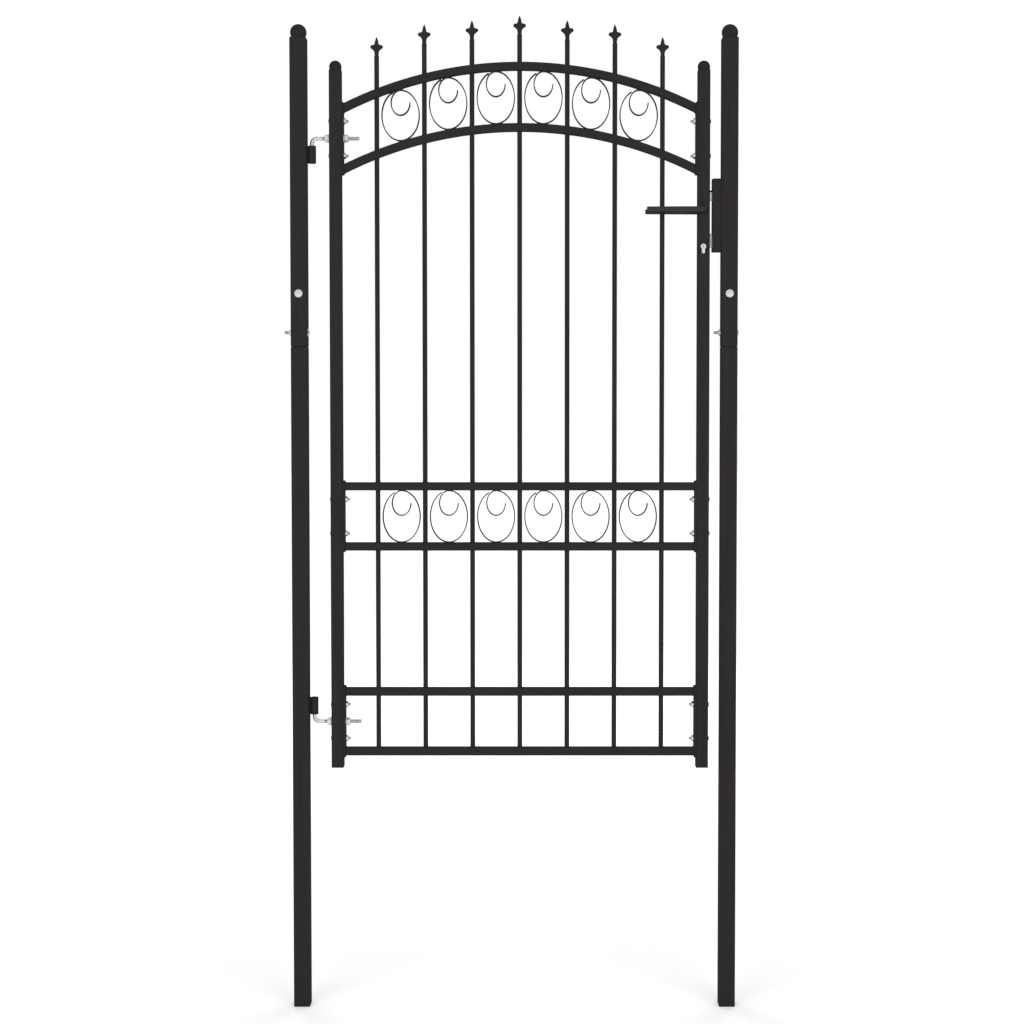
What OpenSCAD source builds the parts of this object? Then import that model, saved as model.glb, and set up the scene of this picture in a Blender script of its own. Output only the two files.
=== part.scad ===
// Steel swing gate: an arched leaf of bolted tube frames, spear pickets and strip scrolls,
// hung on two jointed square posts.  Millimetres, +Z up, front face towards -Y.
// The origin is the centre of the hinge post's foot.  +X runs to the latch post.

/* [Posts] */
// Side of each square post
post_w = 40; // [36:1:50]
// Wall of the post tube
post_wall = 1.5; // [1:0.1:2.5]
// Length of each lower tube, foot to joint
lower_tube_len = 1651; // [1500:1:2000]
// How far each post stands above the leaf's stiles
post_above_stile = 79; // [40:1:200]
// Outer corner radius of all the tubes
tube_corner_r = 2; // [1.6:0.1:2.6]

/* [Post joint] */
// Gap between the lower and the upper tube, where the sleeve shows
joint_gap = 1.5; // [0.5:0.5:5]
// Length of the sleeve inside the lower tube
sleeve_below = 165; // [80:5:300]
// Length of the sleeve inside the upper tube
sleeve_above = 165; // [150:5:300]
// Wall of the sleeve
sleeve_wall = 1.5; // [1:0.1:2.5]
// Gap on each side between the sleeve and the post tube
sleeve_clear = 0.2; // [0.1:0.1:0.5]
// Height of the sideways bolt above the joint
side_bolt_rise = 36; // [25:1:60]
// Height of the front bolt above the joint
front_bolt_rise = 132; // [90:1:140]
// Diameter of the post bolts
post_bolt_d = 8; // [6:1:10]
// Diameter of a post bolt's domed head
post_head_d = 20; // [16:1:22]
// Height of a post bolt's domed head
post_head_h = 5; // [3:0.5:6]
// Length of thread past a post bolt's nut
post_bolt_tail = 11; // [2:0.5:12]

/* [Caps] */
// Thickness of a cap's lip on the tube
cap_lip = 3; // [2:0.5:5]
// Height of a cap's round collar above the lip
cap_collar = 3.5; // [2:0.5:5]
// Step out from the ball to the collar
cap_step = 0.5; // [0.2:0.1:0.6]
// How much wider the ball is than its tube, on the radius
ball_extra = 0.3; // [0:0.1:1]
// How far a cap's ball sinks into the tube's end
cap_sink = 3.5; // [2:0.1:4]
// How far a cap's plug goes into the tube
cap_plug = 14; // [8:1:25]
// Gap on each side between the plug and the tube
cap_clear = 0.2; // [0.1:0.1:0.5]

/* [Leaf frame] */
// Width of the leaf over its two stiles
leaf_w = 940; // [780:2:1130]
// Height of the leaf's lower end above the post's foot
leaf_bottom = 602; // [550:1:650]
// Length of each stile tube
stile_len = 1728; // [1400:1:2100]
// Side of the square stile
stile_w = 30; // [27:1:36]
// Wall of the stile tube
stile_wall = 1.5; // [1:0.1:2]
// Side of the square rail tube
rail_w = 20; // [18:1:24]
// Wall of the rail tube
rail_wall = 1.5; // [1:0.1:2]
// Distance between the centre lines of a pair of rails
pair_spacing = 150; // [125:1:180]
// Centre of the bottom pair above the leaf's lower end
bottom_pair_h = 114.5; // [100:0.5:140]
// Centre of the middle pair above the leaf's lower end
middle_pair_h = 628; // [400:1:760]
// Centre of the arched pair at its ends, below the stiles' upper ends
arch_pair_drop = 164.5; // [110:0.5:220]
// Rise of the arched rails from their ends to the crown
arch_rise = 102.5; // [80:0.5:130]

/* [End plates] */
// How far an end plate reaches past its two rails
plate_margin = 4; // [0:0.5:8]
// Thickness of each end plate
plate_t = 5; // [3:0.5:8]
// Distance between the two bolts of an end plate
plate_bolt_spacing = 85; // [70:1:88]
// Diameter of the bolts that hold the end plates
plate_bolt_d = 8; // [6:1:8]
// Diameter of their domed heads
plate_head_d = 15; // [12:1:18]
// Height of their domed heads
plate_head_h = 3.6; // [2:0.1:4]
// Length of thread past a plate bolt's nut
plate_bolt_tail = 6; // [2:0.5:8]

/* [Pickets] */
// Distance from a stile to the centre of the nearest picket
end_gap = 87; // [70:0.5:110]
// Diameter of a picket
picket_d = 12; // [10:1:14]
// Gap round a picket in its rail holes
picket_clear = 0.1; // [0.05:0.05:0.3]
// Rise of each spear tip above the arch, from the middle picket outwards
tip_rise = [114, 109.5, 121, 127]; // [95:0.5:140]

/* [Spear points] */
// Length from the picket's end to the tip
spear_len = 48.5; // [40:0.5:60]
// Diameter of the neck
spear_neck_d = 10.4; // [8:0.1:11]
// Length of the neck
spear_neck_len = 12; // [8:0.5:18]
// Width over the two side leaves
spear_span = 31.4; // [24:0.1:36]
// Thickness of the side leaves
spear_t = 8; // [6:0.5:9]
// Radius of a side leaf's rounded end
spear_leaf_r = 5.2; // [3:0.1:6]
// Length of the blade above the side leaves
spear_blade_len = 19; // [16:0.5:24]
// Diameter of the blade where it leaves the side leaves
spear_blade_d = 11.4; // [9.5:0.1:12]
// Diameter of the blade where it starts to narrow to the tip
spear_shoulder_d = 9.4; // [8:0.1:11]
// Height of that shoulder above the side leaves
spear_shoulder_h = 8; // [6:0.5:12]
// Diameter of the blade's blunt tip
spear_tip_d = 1; // [0.5:0.1:2]

/* [Scrolls] */
// Gap on each side between a scroll and its pickets
scroll_gap = 5.4; // [1:0.1:10]
// Thickness of the scroll's strip
strip_t = 2.5; // [1:0.1:3]
// Depth of the scroll's strip, front to back
strip_depth = 12; // [8:1:16]
// Width of the inner curl
curl_w = 49; // [40:1:60]
// Height of the inner curl
curl_h = 64; // [50:1:80]
// How far a scroll is ground flat where it is welded to a rail
scroll_flat = 0.8; // [0.1:0.1:1.2]

/* [Hinges] */
// Clear width between the hinge post and the leaf
hinge_gap = 56; // [50:1:70]
// Distance from the hinge post's face to the hinge axis
axis_offset = 12.5; // [12:0.5:16]
// Diameter of the hinge rods
rod_d = 10; // [8:1:10]
// Running clearance round a rod in its barrel, on the radius
rod_clear = 0.08; // [0.05:0.01:0.1]
// Radius of a rod's bend on its centre line
rod_bend_r = 13; // [11:0.5:15]
// Distance from a rod's centre line to its barrel's near end
rod_drop = 18; // [16:0.5:22]
// How far a rod's end stays inside its barrel
rod_inset = 2; // [0:0.5:6]
// Diameter of a hinge barrel
barrel_d = 20; // [18:1:22]
// Length of a hinge barrel
barrel_len = 43; // [36:1:60]
// Thickness of the foot between a barrel and the post, front to back
barrel_foot_t = 10; // [6:1:14]
// Length of a rod past the end plate
rod_past_plate = 39; // [30:1:50]
// Width across the flats of the rod nuts
rod_nut_af = 17; // [13:1:18]
// Height of the rod nuts
rod_nut_h = 9; // [6:0.5:10]
// Diameter of the rod washers
rod_washer_d = 24; // [20:1:28]
// Thickness of the rod washers
rod_washer_t = 2.5; // [1:0.5:3]

/* [Latch] */
// Clear width between the leaf and the latch post
latch_gap = 29; // [27:0.5:40]
// Running gap between the leaf and the keep
keep_gap = 6.5; // [6:0.5:9]
// Height of the keep
keep_h = 180; // [175:1:200]
// Front-to-back width of the keep
keep_depth = 30; // [26:1:36]
// Wall of the keep
keep_wall = 2; // [1.5:0.5:3]
// Distance from the handle's axis down to the keep's centre
keep_drop = 13; // [10:0.5:15]
// Distance from the arched pair's centre down to the handle's axis
handle_drop = 176.5; // [170:0.5:400]
// Distance from the stile's centre line to the handle's axis
handle_offset = 2; // [0:0.5:3]
// Distance from the handle's axis down to the key cylinder
key_drop = 91.5; // [89:0.5:92]
// Height of the latch bolt's centre above the handle's axis
latch_rise = 33.5; // [30:0.5:36]
// Distance from the handle's axis down to the dead bolt's centre
dead_drop = 75.5; // [74:0.5:77]
// Height of the latch bolt
latch_bolt_h = 22; // [16:1:24]
// Height of the plastic glide on top of the latch bolt
glide_h = 4; // [2:0.5:5]
// Length of the latch bolt's bevel
latch_bevel = 9.5; // [6:0.5:12]
// Flat width left at the latch bolt's nose
latch_nose_t = 3; // [1:0.5:5]
// Height of the dead bolt
dead_bolt_h = 35; // [28:1:36]
// Front-to-back thickness of the latch bolt
latch_bolt_t = 12; // [8:1:12]
// Front-to-back thickness of the dead bolt
dead_bolt_t = 8; // [6:0.5:9]
// How far each bolt stands out of the leaf when thrown
bolt_throw = 16; // [14:0.5:17]
// Gap round each bolt in the lock case
bolt_clear = 0.4; // [0.2:0.1:0.6]
// Gap round each bolt in the keep's slots
slot_clear = 2; // [1.5:0.5:3]

/* [Lock case] */
// Length of the faceplate
face_len = 220; // [200:1:240]
// Width of the faceplate
face_w = 20; // [17:1:22]
// Thickness of the faceplate
face_t = 3; // [2:0.5:3]
// Front-to-back thickness of the case
case_t = 16; // [14:0.5:17]
// Length of the case above the handle's axis
case_above = 60; // [54:1:70]
// Length of the case below the handle's axis
case_below = 119; // [118:1:121]
// Gap between the lock and the stile
case_clear = 0.3; // [0.2:0.1:0.5]
// Diameter of the key cylinder's round part
key_d = 14.5; // [13:0.5:17]
// Whole height of the key cylinder
key_h = 24; // [22:0.5:26]
// Width of the key cylinder's leg
key_leg_w = 9.5; // [8:0.5:10.5]
// How far the key cylinder stands out of the stile
key_proud = 12; // [3:0.5:15]
// Height of the bridge that joins the key cylinder's two halves
key_bridge_h = 8; // [6:0.5:10]
// Gap on each side between the dead bolt and the key cylinder's halves
key_slot_clear = 1.2; // [0.5:0.1:1.5]

/* [Handle] */
// Length of a lever from its axis to its tip
lever_len = 140; // [100:1:150]
// Height of a lever's grip
lever_h = 13; // [11:0.5:18]
// Thickness of a lever's grip
lever_t = 8; // [7:0.5:12]
// Corner radius of a lever's tip
lever_tip_r = 2; // [1:0.5:4]
// Distance from the stile's face to the middle of the grip
lever_reach = 19; // [18:1:45]
// Diameter of a lever's neck
neck_d = 14; // [13:0.5:17]
// Gap between a lever's neck and the lock case
neck_gap = 1; // [0.5:0.5:3]
// Running clearance round a neck in the stile, on the radius
neck_clear = 0.2; // [0.1:0.05:0.5]
// Side of the square spindle
spindle_w = 8; // [7:1:8]
// Diameter of the spindle's hole through the lock case
spindle_hole_d = 12.4; // [12:0.2:14]

/* [Hidden] */

ROUND = 48;
BLACK = [0.19, 0.18, 0.19];
ZINC = [0.78, 0.79, 0.8];
STEEL = [0.55, 0.56, 0.58];
HEX = 6;
THROUGH = 1;            // how far a cutting tool runs past the piece it cuts
OVERLAP = 1;            // how far one shape of a piece runs into the next
MIN_CORNER = 0.1;       // smallest inner corner radius of a tube
NUT_PER_D = 0.8;        // height of a nut over its thread's diameter
FLATS_PER_D = 1.65;     // width across a nut's flats over its thread's diameter
BORE_CLEAR = 0.5;       // gap round a bolt in a drilled tube, on the radius
OUTER_STEP = 10;        // degrees from point to point round a scroll
CURL_STEP = 15;         // degrees from point to point round its curl
SCROLL_START = 112;     // where a scroll's outer turn starts, in degrees
ARCH_OVERRUN = 4;       // degrees that the bent tube runs past the plates before it is cut

post_top = leaf_bottom + stile_len + post_above_stile;
upper_tube_z = lower_tube_len + joint_gap;
opening_w = hinge_gap + leaf_w + latch_gap;
latch_post_x = post_w + opening_w;
leaf_x = post_w / 2 + hinge_gap;
leaf_end_x = leaf_x + leaf_w;
leaf_mid_x = leaf_x + leaf_w / 2;
hinge_stile_x = leaf_x + stile_w / 2;
latch_stile_x = leaf_end_x - stile_w / 2;
axis_x = post_w / 2 + axis_offset;
post_positions = [0, latch_post_x];

panel_w = leaf_w - 2 * stile_w;
rail_len = panel_w - 2 * plate_t;
plate_len = pair_spacing + rail_w + 2 * plate_margin;
bottom_pair_z = leaf_bottom + bottom_pair_h;
middle_pair_z = leaf_bottom + middle_pair_h;
arch_pair_z = leaf_bottom + stile_len - arch_pair_drop;
half_spacing = pair_spacing / 2;
bottom_rail_z = bottom_pair_z - half_spacing;

// Centre-line radius of the arched rails, and the height of the upper one's centre
arch_r = (pow(rail_len / 2, 2) + pow(arch_rise, 2)) / (2 * arch_rise);
arch_centre_z = arch_pair_z + half_spacing + arch_rise - arch_r;

keep_x = leaf_end_x + keep_gap;
keep_w = latch_gap - keep_gap;
handle_x = latch_stile_x - handle_offset;
handle_z = arch_pair_z - handle_drop;
latch_low = handle_z + latch_rise - latch_bolt_h / 2;
latch_high = latch_low + latch_bolt_h;
dead_low = handle_z - dead_drop - dead_bolt_h / 2;
dead_high = dead_low + dead_bolt_h;
key_z = handle_z - key_drop;
keep_z = handle_z - keep_drop;
case_x = leaf_end_x - stile_w + stile_wall + case_clear;
case_w = leaf_end_x - face_t - case_x;
pocket_x = case_x + stile_wall;
bolt_len = leaf_end_x - pocket_x - bolt_clear;

// Heights of the two plate bolts, counted from the plate's centre
plate_bolt_rises = [-plate_bolt_spacing / 2, plate_bolt_spacing / 2];
pair_heights = [bottom_pair_z, middle_pair_z, arch_pair_z];
picket_count = 7;
picket_pitch = (panel_w - 2 * end_gap) / (picket_count - 1);
scroll_w = picket_pitch - picket_d - 2 * scroll_gap;
picket_numbers = [1 : picket_count];
scroll_numbers = [1 : picket_count - 1];

function picket_dx(i) = (i - (picket_count + 1) / 2) * picket_pitch;
function scroll_dx(i) = picket_dx(i) + picket_pitch / 2;

// Height of a circle of radius r about the arch's centre, at dx from the leaf's middle
function arch_z(r, dx) = arch_centre_z + sqrt(r * r - dx * dx);
function spear_tip_z(i) =
    arch_z(arch_r + rail_w / 2, picket_dx(i)) + tip_rise[abs(i - (picket_count + 1) / 2)];
function picket_top_z(i) = spear_tip_z(i) - spear_len;

// A point and its outward normal on an ellipse
function on_ellipse(a, b, t) = [a * cos(t), b * sin(t)];
function ellipse_normal(a, b, t) =
    let (n = [cos(t) / a, sin(t) / b]) n / norm(n);

// Centre line of a scroll: one outer turn, then the curl hung from the same top point
function outer_angles() = [for (t = [SCROLL_START : OUTER_STEP : 449]) t];
function curl_angles() = [for (t = [90 : CURL_STEP : 360]) t];
function scroll_side(a, b, ca, cb, side) = concat(
    [for (t = outer_angles()) on_ellipse(a, b, t) + side * ellipse_normal(a, b, t)],
    [for (t = curl_angles())
        on_ellipse(ca, cb, t) + [0, b - cb] + side * ellipse_normal(ca, cb, t)]);
function backwards(points) = [for (i = [len(points) - 1 : -1 : 0]) points[i]];

// ---- shared shapes ----

module rounded_square(w, r) {
    square([w - 2 * r, w], center = true);
    square([w, w - 2 * r], center = true);
    for (x = [-1, 1], y = [-1, 1])
        translate([x * (w / 2 - r), y * (w / 2 - r)])
            circle(r, $fn = ROUND);
}

module tube_section(w, wall, r = tube_corner_r) {
    difference() {
        rounded_square(w, r);
        rounded_square(w - 2 * wall, max(r - wall, MIN_CORNER));
    }
}

module upright_tube(w, wall, len) {
    linear_extrude(len)
        tube_section(w, wall);
}

// A round bar or hole along X, from x = 0
module along_x(d, len) {
    rotate([0, 90, 0])
        cylinder(d = d, h = len, $fn = ROUND);
}

// A round bar or hole along Y, centred on y = 0
module along_y(d, len) {
    rotate([90, 0, 0])
        cylinder(d = d, h = len, center = true, $fn = ROUND);
}

// A domed head standing on z = 0
module dome_head(d, h) {
    dome_r = (d * d / 4 + h * h) / (2 * h);
    intersection() {
        translate([0, 0, h - dome_r])
            sphere(dome_r, $fn = ROUND);
        cylinder(d = d, h = h, $fn = ROUND);
    }
}

module nut(af, h) {
    cylinder(d = af / cos(30), h = h, $fn = HEX);
}

// A domed bolt along Z: its head stands on z = 0, its shank runs down through grip to its nut
module domed_bolt(d, head_d, head_h, grip, tail) {
    nut_h = NUT_PER_D * d;
    dome_head(head_d, head_h);
    translate([0, 0, -grip - nut_h - tail])
        cylinder(d = d, h = grip + nut_h + tail, $fn = ROUND);
    translate([0, 0, -grip - nut_h])
        nut(FLATS_PER_D * d, nut_h);
}

module ball_cap(w, wall) {
    ball_r = w / 2 + ball_extra;
    ball_z = ball_r - cap_sink;
    collar_top = cap_lip + cap_collar;
    collar_r = sqrt(pow(ball_r, 2) - pow(ball_z - collar_top, 2)) + cap_step;
    inner = w - 2 * wall - 2 * cap_clear;
    translate([0, 0, -cap_plug])
        linear_extrude(cap_plug)
            rounded_square(inner, tube_corner_r);
    linear_extrude(cap_lip)
        rounded_square(w, tube_corner_r);
    cylinder(r = collar_r, h = collar_top, $fn = ROUND);
    translate([0, 0, ball_z])
        difference() {
            sphere(ball_r, $fn = ROUND);
            translate([-w, -w, -2 * w - ball_z + cap_lip / 2])
                cube(2 * w);
        }
}

// ---- posts ----

module post_bores() {
    translate([-post_w / 2 - THROUGH, 0, lower_tube_len + side_bolt_rise])
        along_x(post_bolt_d + 2 * BORE_CLEAR, post_w + 2 * THROUGH);
    translate([0, 0, lower_tube_len + front_bolt_rise])
        along_y(post_bolt_d + 2 * BORE_CLEAR, post_w + 2 * THROUGH);
}

module post_lower(x) {
    color(BLACK)
        translate([x, 0, 0])
            upright_tube(post_w, post_wall, lower_tube_len);
}

module post_upper(x) {
    color(BLACK)
        translate([x, 0, 0])
            difference() {
                translate([0, 0, upper_tube_z])
                    upright_tube(post_w, post_wall, post_top - upper_tube_z);
                post_bores();
            }
}

module post_sleeves() {
    color(STEEL)
        for (x = post_positions)
            translate([x, 0, 0])
                difference() {
                    translate([0, 0, lower_tube_len - sleeve_below])
                        upright_tube(post_w - 2 * post_wall - 2 * sleeve_clear, sleeve_wall,
                                     sleeve_below + sleeve_above);
                    post_bores();
                }
}

module post_caps() {
    color(BLACK)
        for (x = post_positions)
            translate([x, 0, post_top])
                ball_cap(post_w, post_wall);
}

module post_bolt() {
    domed_bolt(post_bolt_d, post_head_d, post_head_h, post_w, post_bolt_tail);
}

module post_bolts() {
    color(ZINC)
        for (x = post_positions)
            translate([x, 0, lower_tube_len]) {
                translate([0, -post_w / 2, front_bolt_rise])
                    rotate([90, 0, 0])
                        post_bolt();
                translate([post_w / 2, 0, side_bolt_rise])
                    rotate([0, 90, 0])
                        post_bolt();
            }
}

// A hinge barrel on its foot, its bore along Z from z = 0
module hinge_barrel() {
    color(BLACK)
        difference() {
            union() {
                translate([axis_x, 0, 0])
                    cylinder(d = barrel_d, h = barrel_len, $fn = ROUND);
                translate([post_w / 2, -barrel_foot_t / 2, 0])
                    cube([axis_offset, barrel_foot_t, barrel_len]);
            }
            translate([axis_x, 0, -THROUGH])
                cylinder(r = rod_d / 2 + rod_clear, h = barrel_len + 2 * THROUGH, $fn = ROUND);
        }
}

module upper_hinge_barrel() {
    translate([0, 0, arch_pair_z - rod_drop - barrel_len])
        hinge_barrel();
}

module lower_hinge_barrel() {
    translate([0, 0, bottom_pair_z + rod_drop])
        hinge_barrel();
}

// The keep's slot for a bolt of thickness t, from z = low to z = high
module keep_slot(t, low, high) {
    translate([keep_x - THROUGH, -t / 2 - slot_clear, low - slot_clear])
        cube([keep_wall + 2 * THROUGH, t + 2 * slot_clear, high - low + 2 * slot_clear]);
}

module latch_keep() {
    color(BLACK)
        difference() {
            translate([keep_x, -keep_depth / 2, keep_z - keep_h / 2])
                cube([keep_w, keep_depth, keep_h]);
            translate([keep_x + keep_wall, keep_wall - keep_depth / 2, keep_wall + keep_z - keep_h / 2])
                cube([keep_w, keep_depth - 2 * keep_wall, keep_h - 2 * keep_wall]);
            keep_slot(latch_bolt_t, latch_low, latch_high + glide_h);
            keep_slot(dead_bolt_t, dead_low, dead_high);
        }
}

// ---- leaf frame ----

// The holes that the plate bolts and the hinge rods need through a stile or a plate
module side_bores(x, w) {
    for (z = pair_heights, rise = plate_bolt_rises)
        translate([x - THROUGH, 0, z + rise])
            along_x(plate_bolt_d + 2 * BORE_CLEAR, w + 2 * THROUGH);
}

module rod_bores(x, w) {
    for (z = [bottom_pair_z, arch_pair_z])
        translate([x - THROUGH, 0, z])
            along_x(rod_d + 2 * BORE_CLEAR, w + 2 * THROUGH);
}

module key_outline(gap) {
    circle(d = key_d + 2 * gap, $fn = ROUND);
    translate([-key_leg_w / 2 - gap, key_d / 2 - key_h - gap])
        square([key_leg_w + 2 * gap, key_h - key_d / 2]);
    translate([0, key_d / 2 - key_h + key_leg_w / 2])
        circle(d = key_leg_w + 2 * gap, $fn = ROUND);
}

module key_prism(gap, len) {
    translate([handle_x, len / 2, key_z])
        rotate([90, 0, 0])
            linear_extrude(len)
                key_outline(gap);
}

module hinge_stile() {
    color(BLACK)
        difference() {
            translate([hinge_stile_x, 0, leaf_bottom])
                upright_tube(stile_w, stile_wall, stile_len);
            side_bores(leaf_x, stile_w);
            rod_bores(leaf_x, stile_w);
        }
}

module latch_stile() {
    color(BLACK)
        difference() {
            translate([latch_stile_x, 0, leaf_bottom])
                upright_tube(stile_w, stile_wall, stile_len);
            side_bores(leaf_end_x - stile_w, stile_w);
            key_prism(case_clear, stile_w + 2 * THROUGH);
            translate([handle_x, 0, handle_z])
                along_y(neck_d + 2 * neck_clear, stile_w + 2 * THROUGH);
            translate([leaf_end_x - face_t, -face_w / 2 - case_clear, keep_z - face_len / 2 - case_clear])
                cube([face_t + THROUGH, face_w + 2 * case_clear, face_len + 2 * case_clear]);
        }
}

module stile_caps() {
    color(BLACK)
        for (x = [hinge_stile_x, latch_stile_x])
            translate([x, 0, leaf_bottom + stile_len])
                ball_cap(stile_w, stile_wall);
}

module picket_bores(z, h) {
    for (i = picket_numbers)
        translate([leaf_mid_x + picket_dx(i), 0, z])
            cylinder(d = picket_d + 2 * picket_clear, h = h, $fn = ROUND);
}

// An arched tube, its crown's centre line arch_r above z = centre_z
module arch_rail(centre_z) {
    color(BLACK)
        difference() {
            intersection() {
                translate([leaf_mid_x, 0, centre_z])
                    rotate([90, 0, 0])
                        rotate([0, 0, 90 - asin(rail_len / 2 / arch_r) - ARCH_OVERRUN])
                            rotate_extrude(angle = 2 * (asin(rail_len / 2 / arch_r) + ARCH_OVERRUN),
                                           $fn = 4 * ROUND)
                                translate([arch_r, 0])
                                    tube_section(rail_w, rail_wall);
                translate([leaf_mid_x - rail_len / 2, -rail_w, centre_z])
                    cube([rail_len, 2 * rail_w, arch_r + rail_w]);
            }
            picket_bores(centre_z, arch_r + rail_w);
        }
}

// A straight tube, drilled from bore_z up
module straight_rail(z, bore_z) {
    color(BLACK)
        difference() {
            translate([leaf_mid_x - rail_len / 2, 0, z])
                rotate([0, 90, 0])
                    linear_extrude(rail_len)
                        tube_section(rail_w, rail_wall);
            picket_bores(bore_z, 2 * rail_w);
        }
}

module top_arch_rail() {
    arch_rail(arch_centre_z);
}

module lower_arch_rail() {
    arch_rail(arch_centre_z - pair_spacing);
}

module middle_upper_rail() {
    straight_rail(middle_pair_z + half_spacing, middle_pair_z + half_spacing - rail_w);
}

module middle_lower_rail() {
    straight_rail(middle_pair_z - half_spacing, middle_pair_z - half_spacing - rail_w);
}

module bottom_upper_rail() {
    straight_rail(bottom_pair_z + half_spacing, bottom_pair_z + half_spacing - rail_w);
}

module bottom_lower_rail() {
    straight_rail(bottom_rail_z, bottom_rail_z);
}

module picket(i) {
    color(BLACK)
        translate([leaf_mid_x + picket_dx(i), 0, bottom_rail_z])
            cylinder(d = picket_d, h = picket_top_z(i) - bottom_rail_z, $fn = ROUND);
}

// One cast spear point, standing on z = 0
module spear_point() {
    leaf_top = spear_len - spear_blade_len;
    leaf_z = leaf_top - spear_leaf_r;
    leaf_x_offset = spear_span / 2 - spear_leaf_r;
    tangent = spear_leaf_r * cos(45);
    cylinder(d = spear_neck_d, h = spear_neck_len, $fn = ROUND);
    translate([0, spear_t / 2, 0])
        rotate([90, 0, 0])
            linear_extrude(spear_t) {
                polygon([
                    [-spear_neck_d / 2, spear_neck_len - OVERLAP],
                    [spear_neck_d / 2, spear_neck_len - OVERLAP],
                    [leaf_x_offset + tangent, leaf_z - tangent],
                    [leaf_x_offset, leaf_top],
                    [-leaf_x_offset, leaf_top],
                    [-leaf_x_offset - tangent, leaf_z - tangent]
                ]);
                for (side = [-1, 1])
                    translate([side * leaf_x_offset, leaf_z])
                        circle(spear_leaf_r, $fn = ROUND);
            }
    translate([0, 0, leaf_z])
        cylinder(d = spear_blade_d, h = spear_leaf_r, $fn = ROUND);
    translate([0, 0, leaf_top])
        cylinder(d1 = spear_blade_d, d2 = spear_shoulder_d, h = spear_shoulder_h, $fn = ROUND);
    translate([0, 0, leaf_top + spear_shoulder_h])
        cylinder(d1 = spear_shoulder_d, d2 = spear_tip_d, h = spear_blade_len - spear_shoulder_h,
                 $fn = ROUND);
}

module spear_points() {
    color(BLACK)
        for (i = picket_numbers)
            translate([leaf_mid_x + picket_dx(i), 0, picket_top_z(i)])
                spear_point();
}

// The outline of a scroll of half-height b, centred on the origin
module scroll_outline(b) {
    a = (scroll_w - strip_t) / 2;
    ca = (curl_w - strip_t) / 2;
    cb = (curl_h - strip_t) / 2;
    polygon(concat(
        scroll_side(a, b, ca, cb, strip_t / 2),
        backwards(scroll_side(a, b, ca, cb, -strip_t / 2))));
}

module stand_up(depth) {
    translate([0, depth / 2, 0])
        rotate([90, 0, 0])
            linear_extrude(depth)
                children();
}

// Each scroll reaches both sloping rails, so its half-height shrinks with their slope
module arch_scrolls() {
    upper_r = arch_r - rail_w / 2;
    lower_r = arch_r + rail_w / 2;
    color(BLACK)
        for (i = scroll_numbers) {
            dx = scroll_dx(i);
            upper_z = arch_z(upper_r, dx);
            lower_z = arch_z(lower_r, dx) - pair_spacing;
            mid_z = (upper_z + lower_z) / 2;
            slope = dx / sqrt(arch_r * arch_r - dx * dx);
            reach = (upper_z - lower_z) / 2 + scroll_flat;
            translate([leaf_mid_x + dx, 0, mid_z])
                stand_up(strip_depth)
                    difference() {
                        intersection() {
                            scroll_outline(sqrt(reach * reach - pow(slope * scroll_w / 2, 2)) - strip_t / 2);
                            translate([-dx, arch_centre_z - mid_z])
                                circle(upper_r, $fn = 4 * ROUND);
                        }
                        translate([-dx, arch_centre_z - pair_spacing - mid_z])
                            circle(lower_r, $fn = 4 * ROUND);
                    }
        }
}

module middle_scrolls() {
    reach = half_spacing - rail_w / 2;
    color(BLACK)
        for (i = scroll_numbers)
            translate([leaf_mid_x + scroll_dx(i), 0, middle_pair_z])
                stand_up(strip_depth)
                    intersection() {
                        scroll_outline(reach + scroll_flat - strip_t / 2);
                        square([2 * scroll_w, 2 * reach], center = true);
                    }
}

module end_plates(z) {
    color(BLACK)
        for (x = [leaf_x + stile_w, leaf_end_x - stile_w - plate_t])
            difference() {
                translate([x, -stile_w / 2, z - plate_len / 2])
                    cube([plate_t, stile_w, plate_len]);
                side_bores(x, plate_t);
                rod_bores(x, plate_t);
            }
}

module arch_end_plates() {
    end_plates(arch_pair_z);
}

module middle_end_plates() {
    end_plates(middle_pair_z);
}

module bottom_end_plates() {
    end_plates(bottom_pair_z);
}

module plate_bolt() {
    domed_bolt(plate_bolt_d, plate_head_d, plate_head_h, stile_w + plate_t, plate_bolt_tail);
}

module plate_bolts() {
    color(ZINC)
        for (z = pair_heights, rise = plate_bolt_rises) {
            translate([leaf_x, 0, z + rise])
                rotate([0, -90, 0])
                    plate_bolt();
            translate([leaf_end_x, 0, z + rise])
                rotate([0, 90, 0])
                    plate_bolt();
        }
}

// ---- hinges ----

// An L-shaped rod: its long leg lies along X at z = 0, its short leg hangs down on the hinge axis
module hinge_rod() {
    short_leg = rod_drop + barrel_len - rod_inset;
    long_end = leaf_x + stile_w + plate_t + rod_past_plate;
    color(ZINC) {
        translate([axis_x + rod_bend_r, 0, 0])
            along_x(rod_d, long_end - axis_x - rod_bend_r);
        translate([axis_x + rod_bend_r, 0, -rod_bend_r])
            rotate([90, 0, 0])
                rotate([0, 0, 90])
                    rotate_extrude(angle = 90, $fn = ROUND)
                        translate([rod_bend_r, 0])
                            circle(d = rod_d, $fn = ROUND);
        translate([axis_x, 0, -short_leg])
            cylinder(d = rod_d, h = short_leg - rod_bend_r, $fn = ROUND);
    }
}

module upper_hinge_rod() {
    translate([0, 0, arch_pair_z])
        hinge_rod();
}

module lower_hinge_rod() {
    translate([0, 0, bottom_pair_z])
        mirror([0, 0, 1])
            hinge_rod();
}

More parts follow.
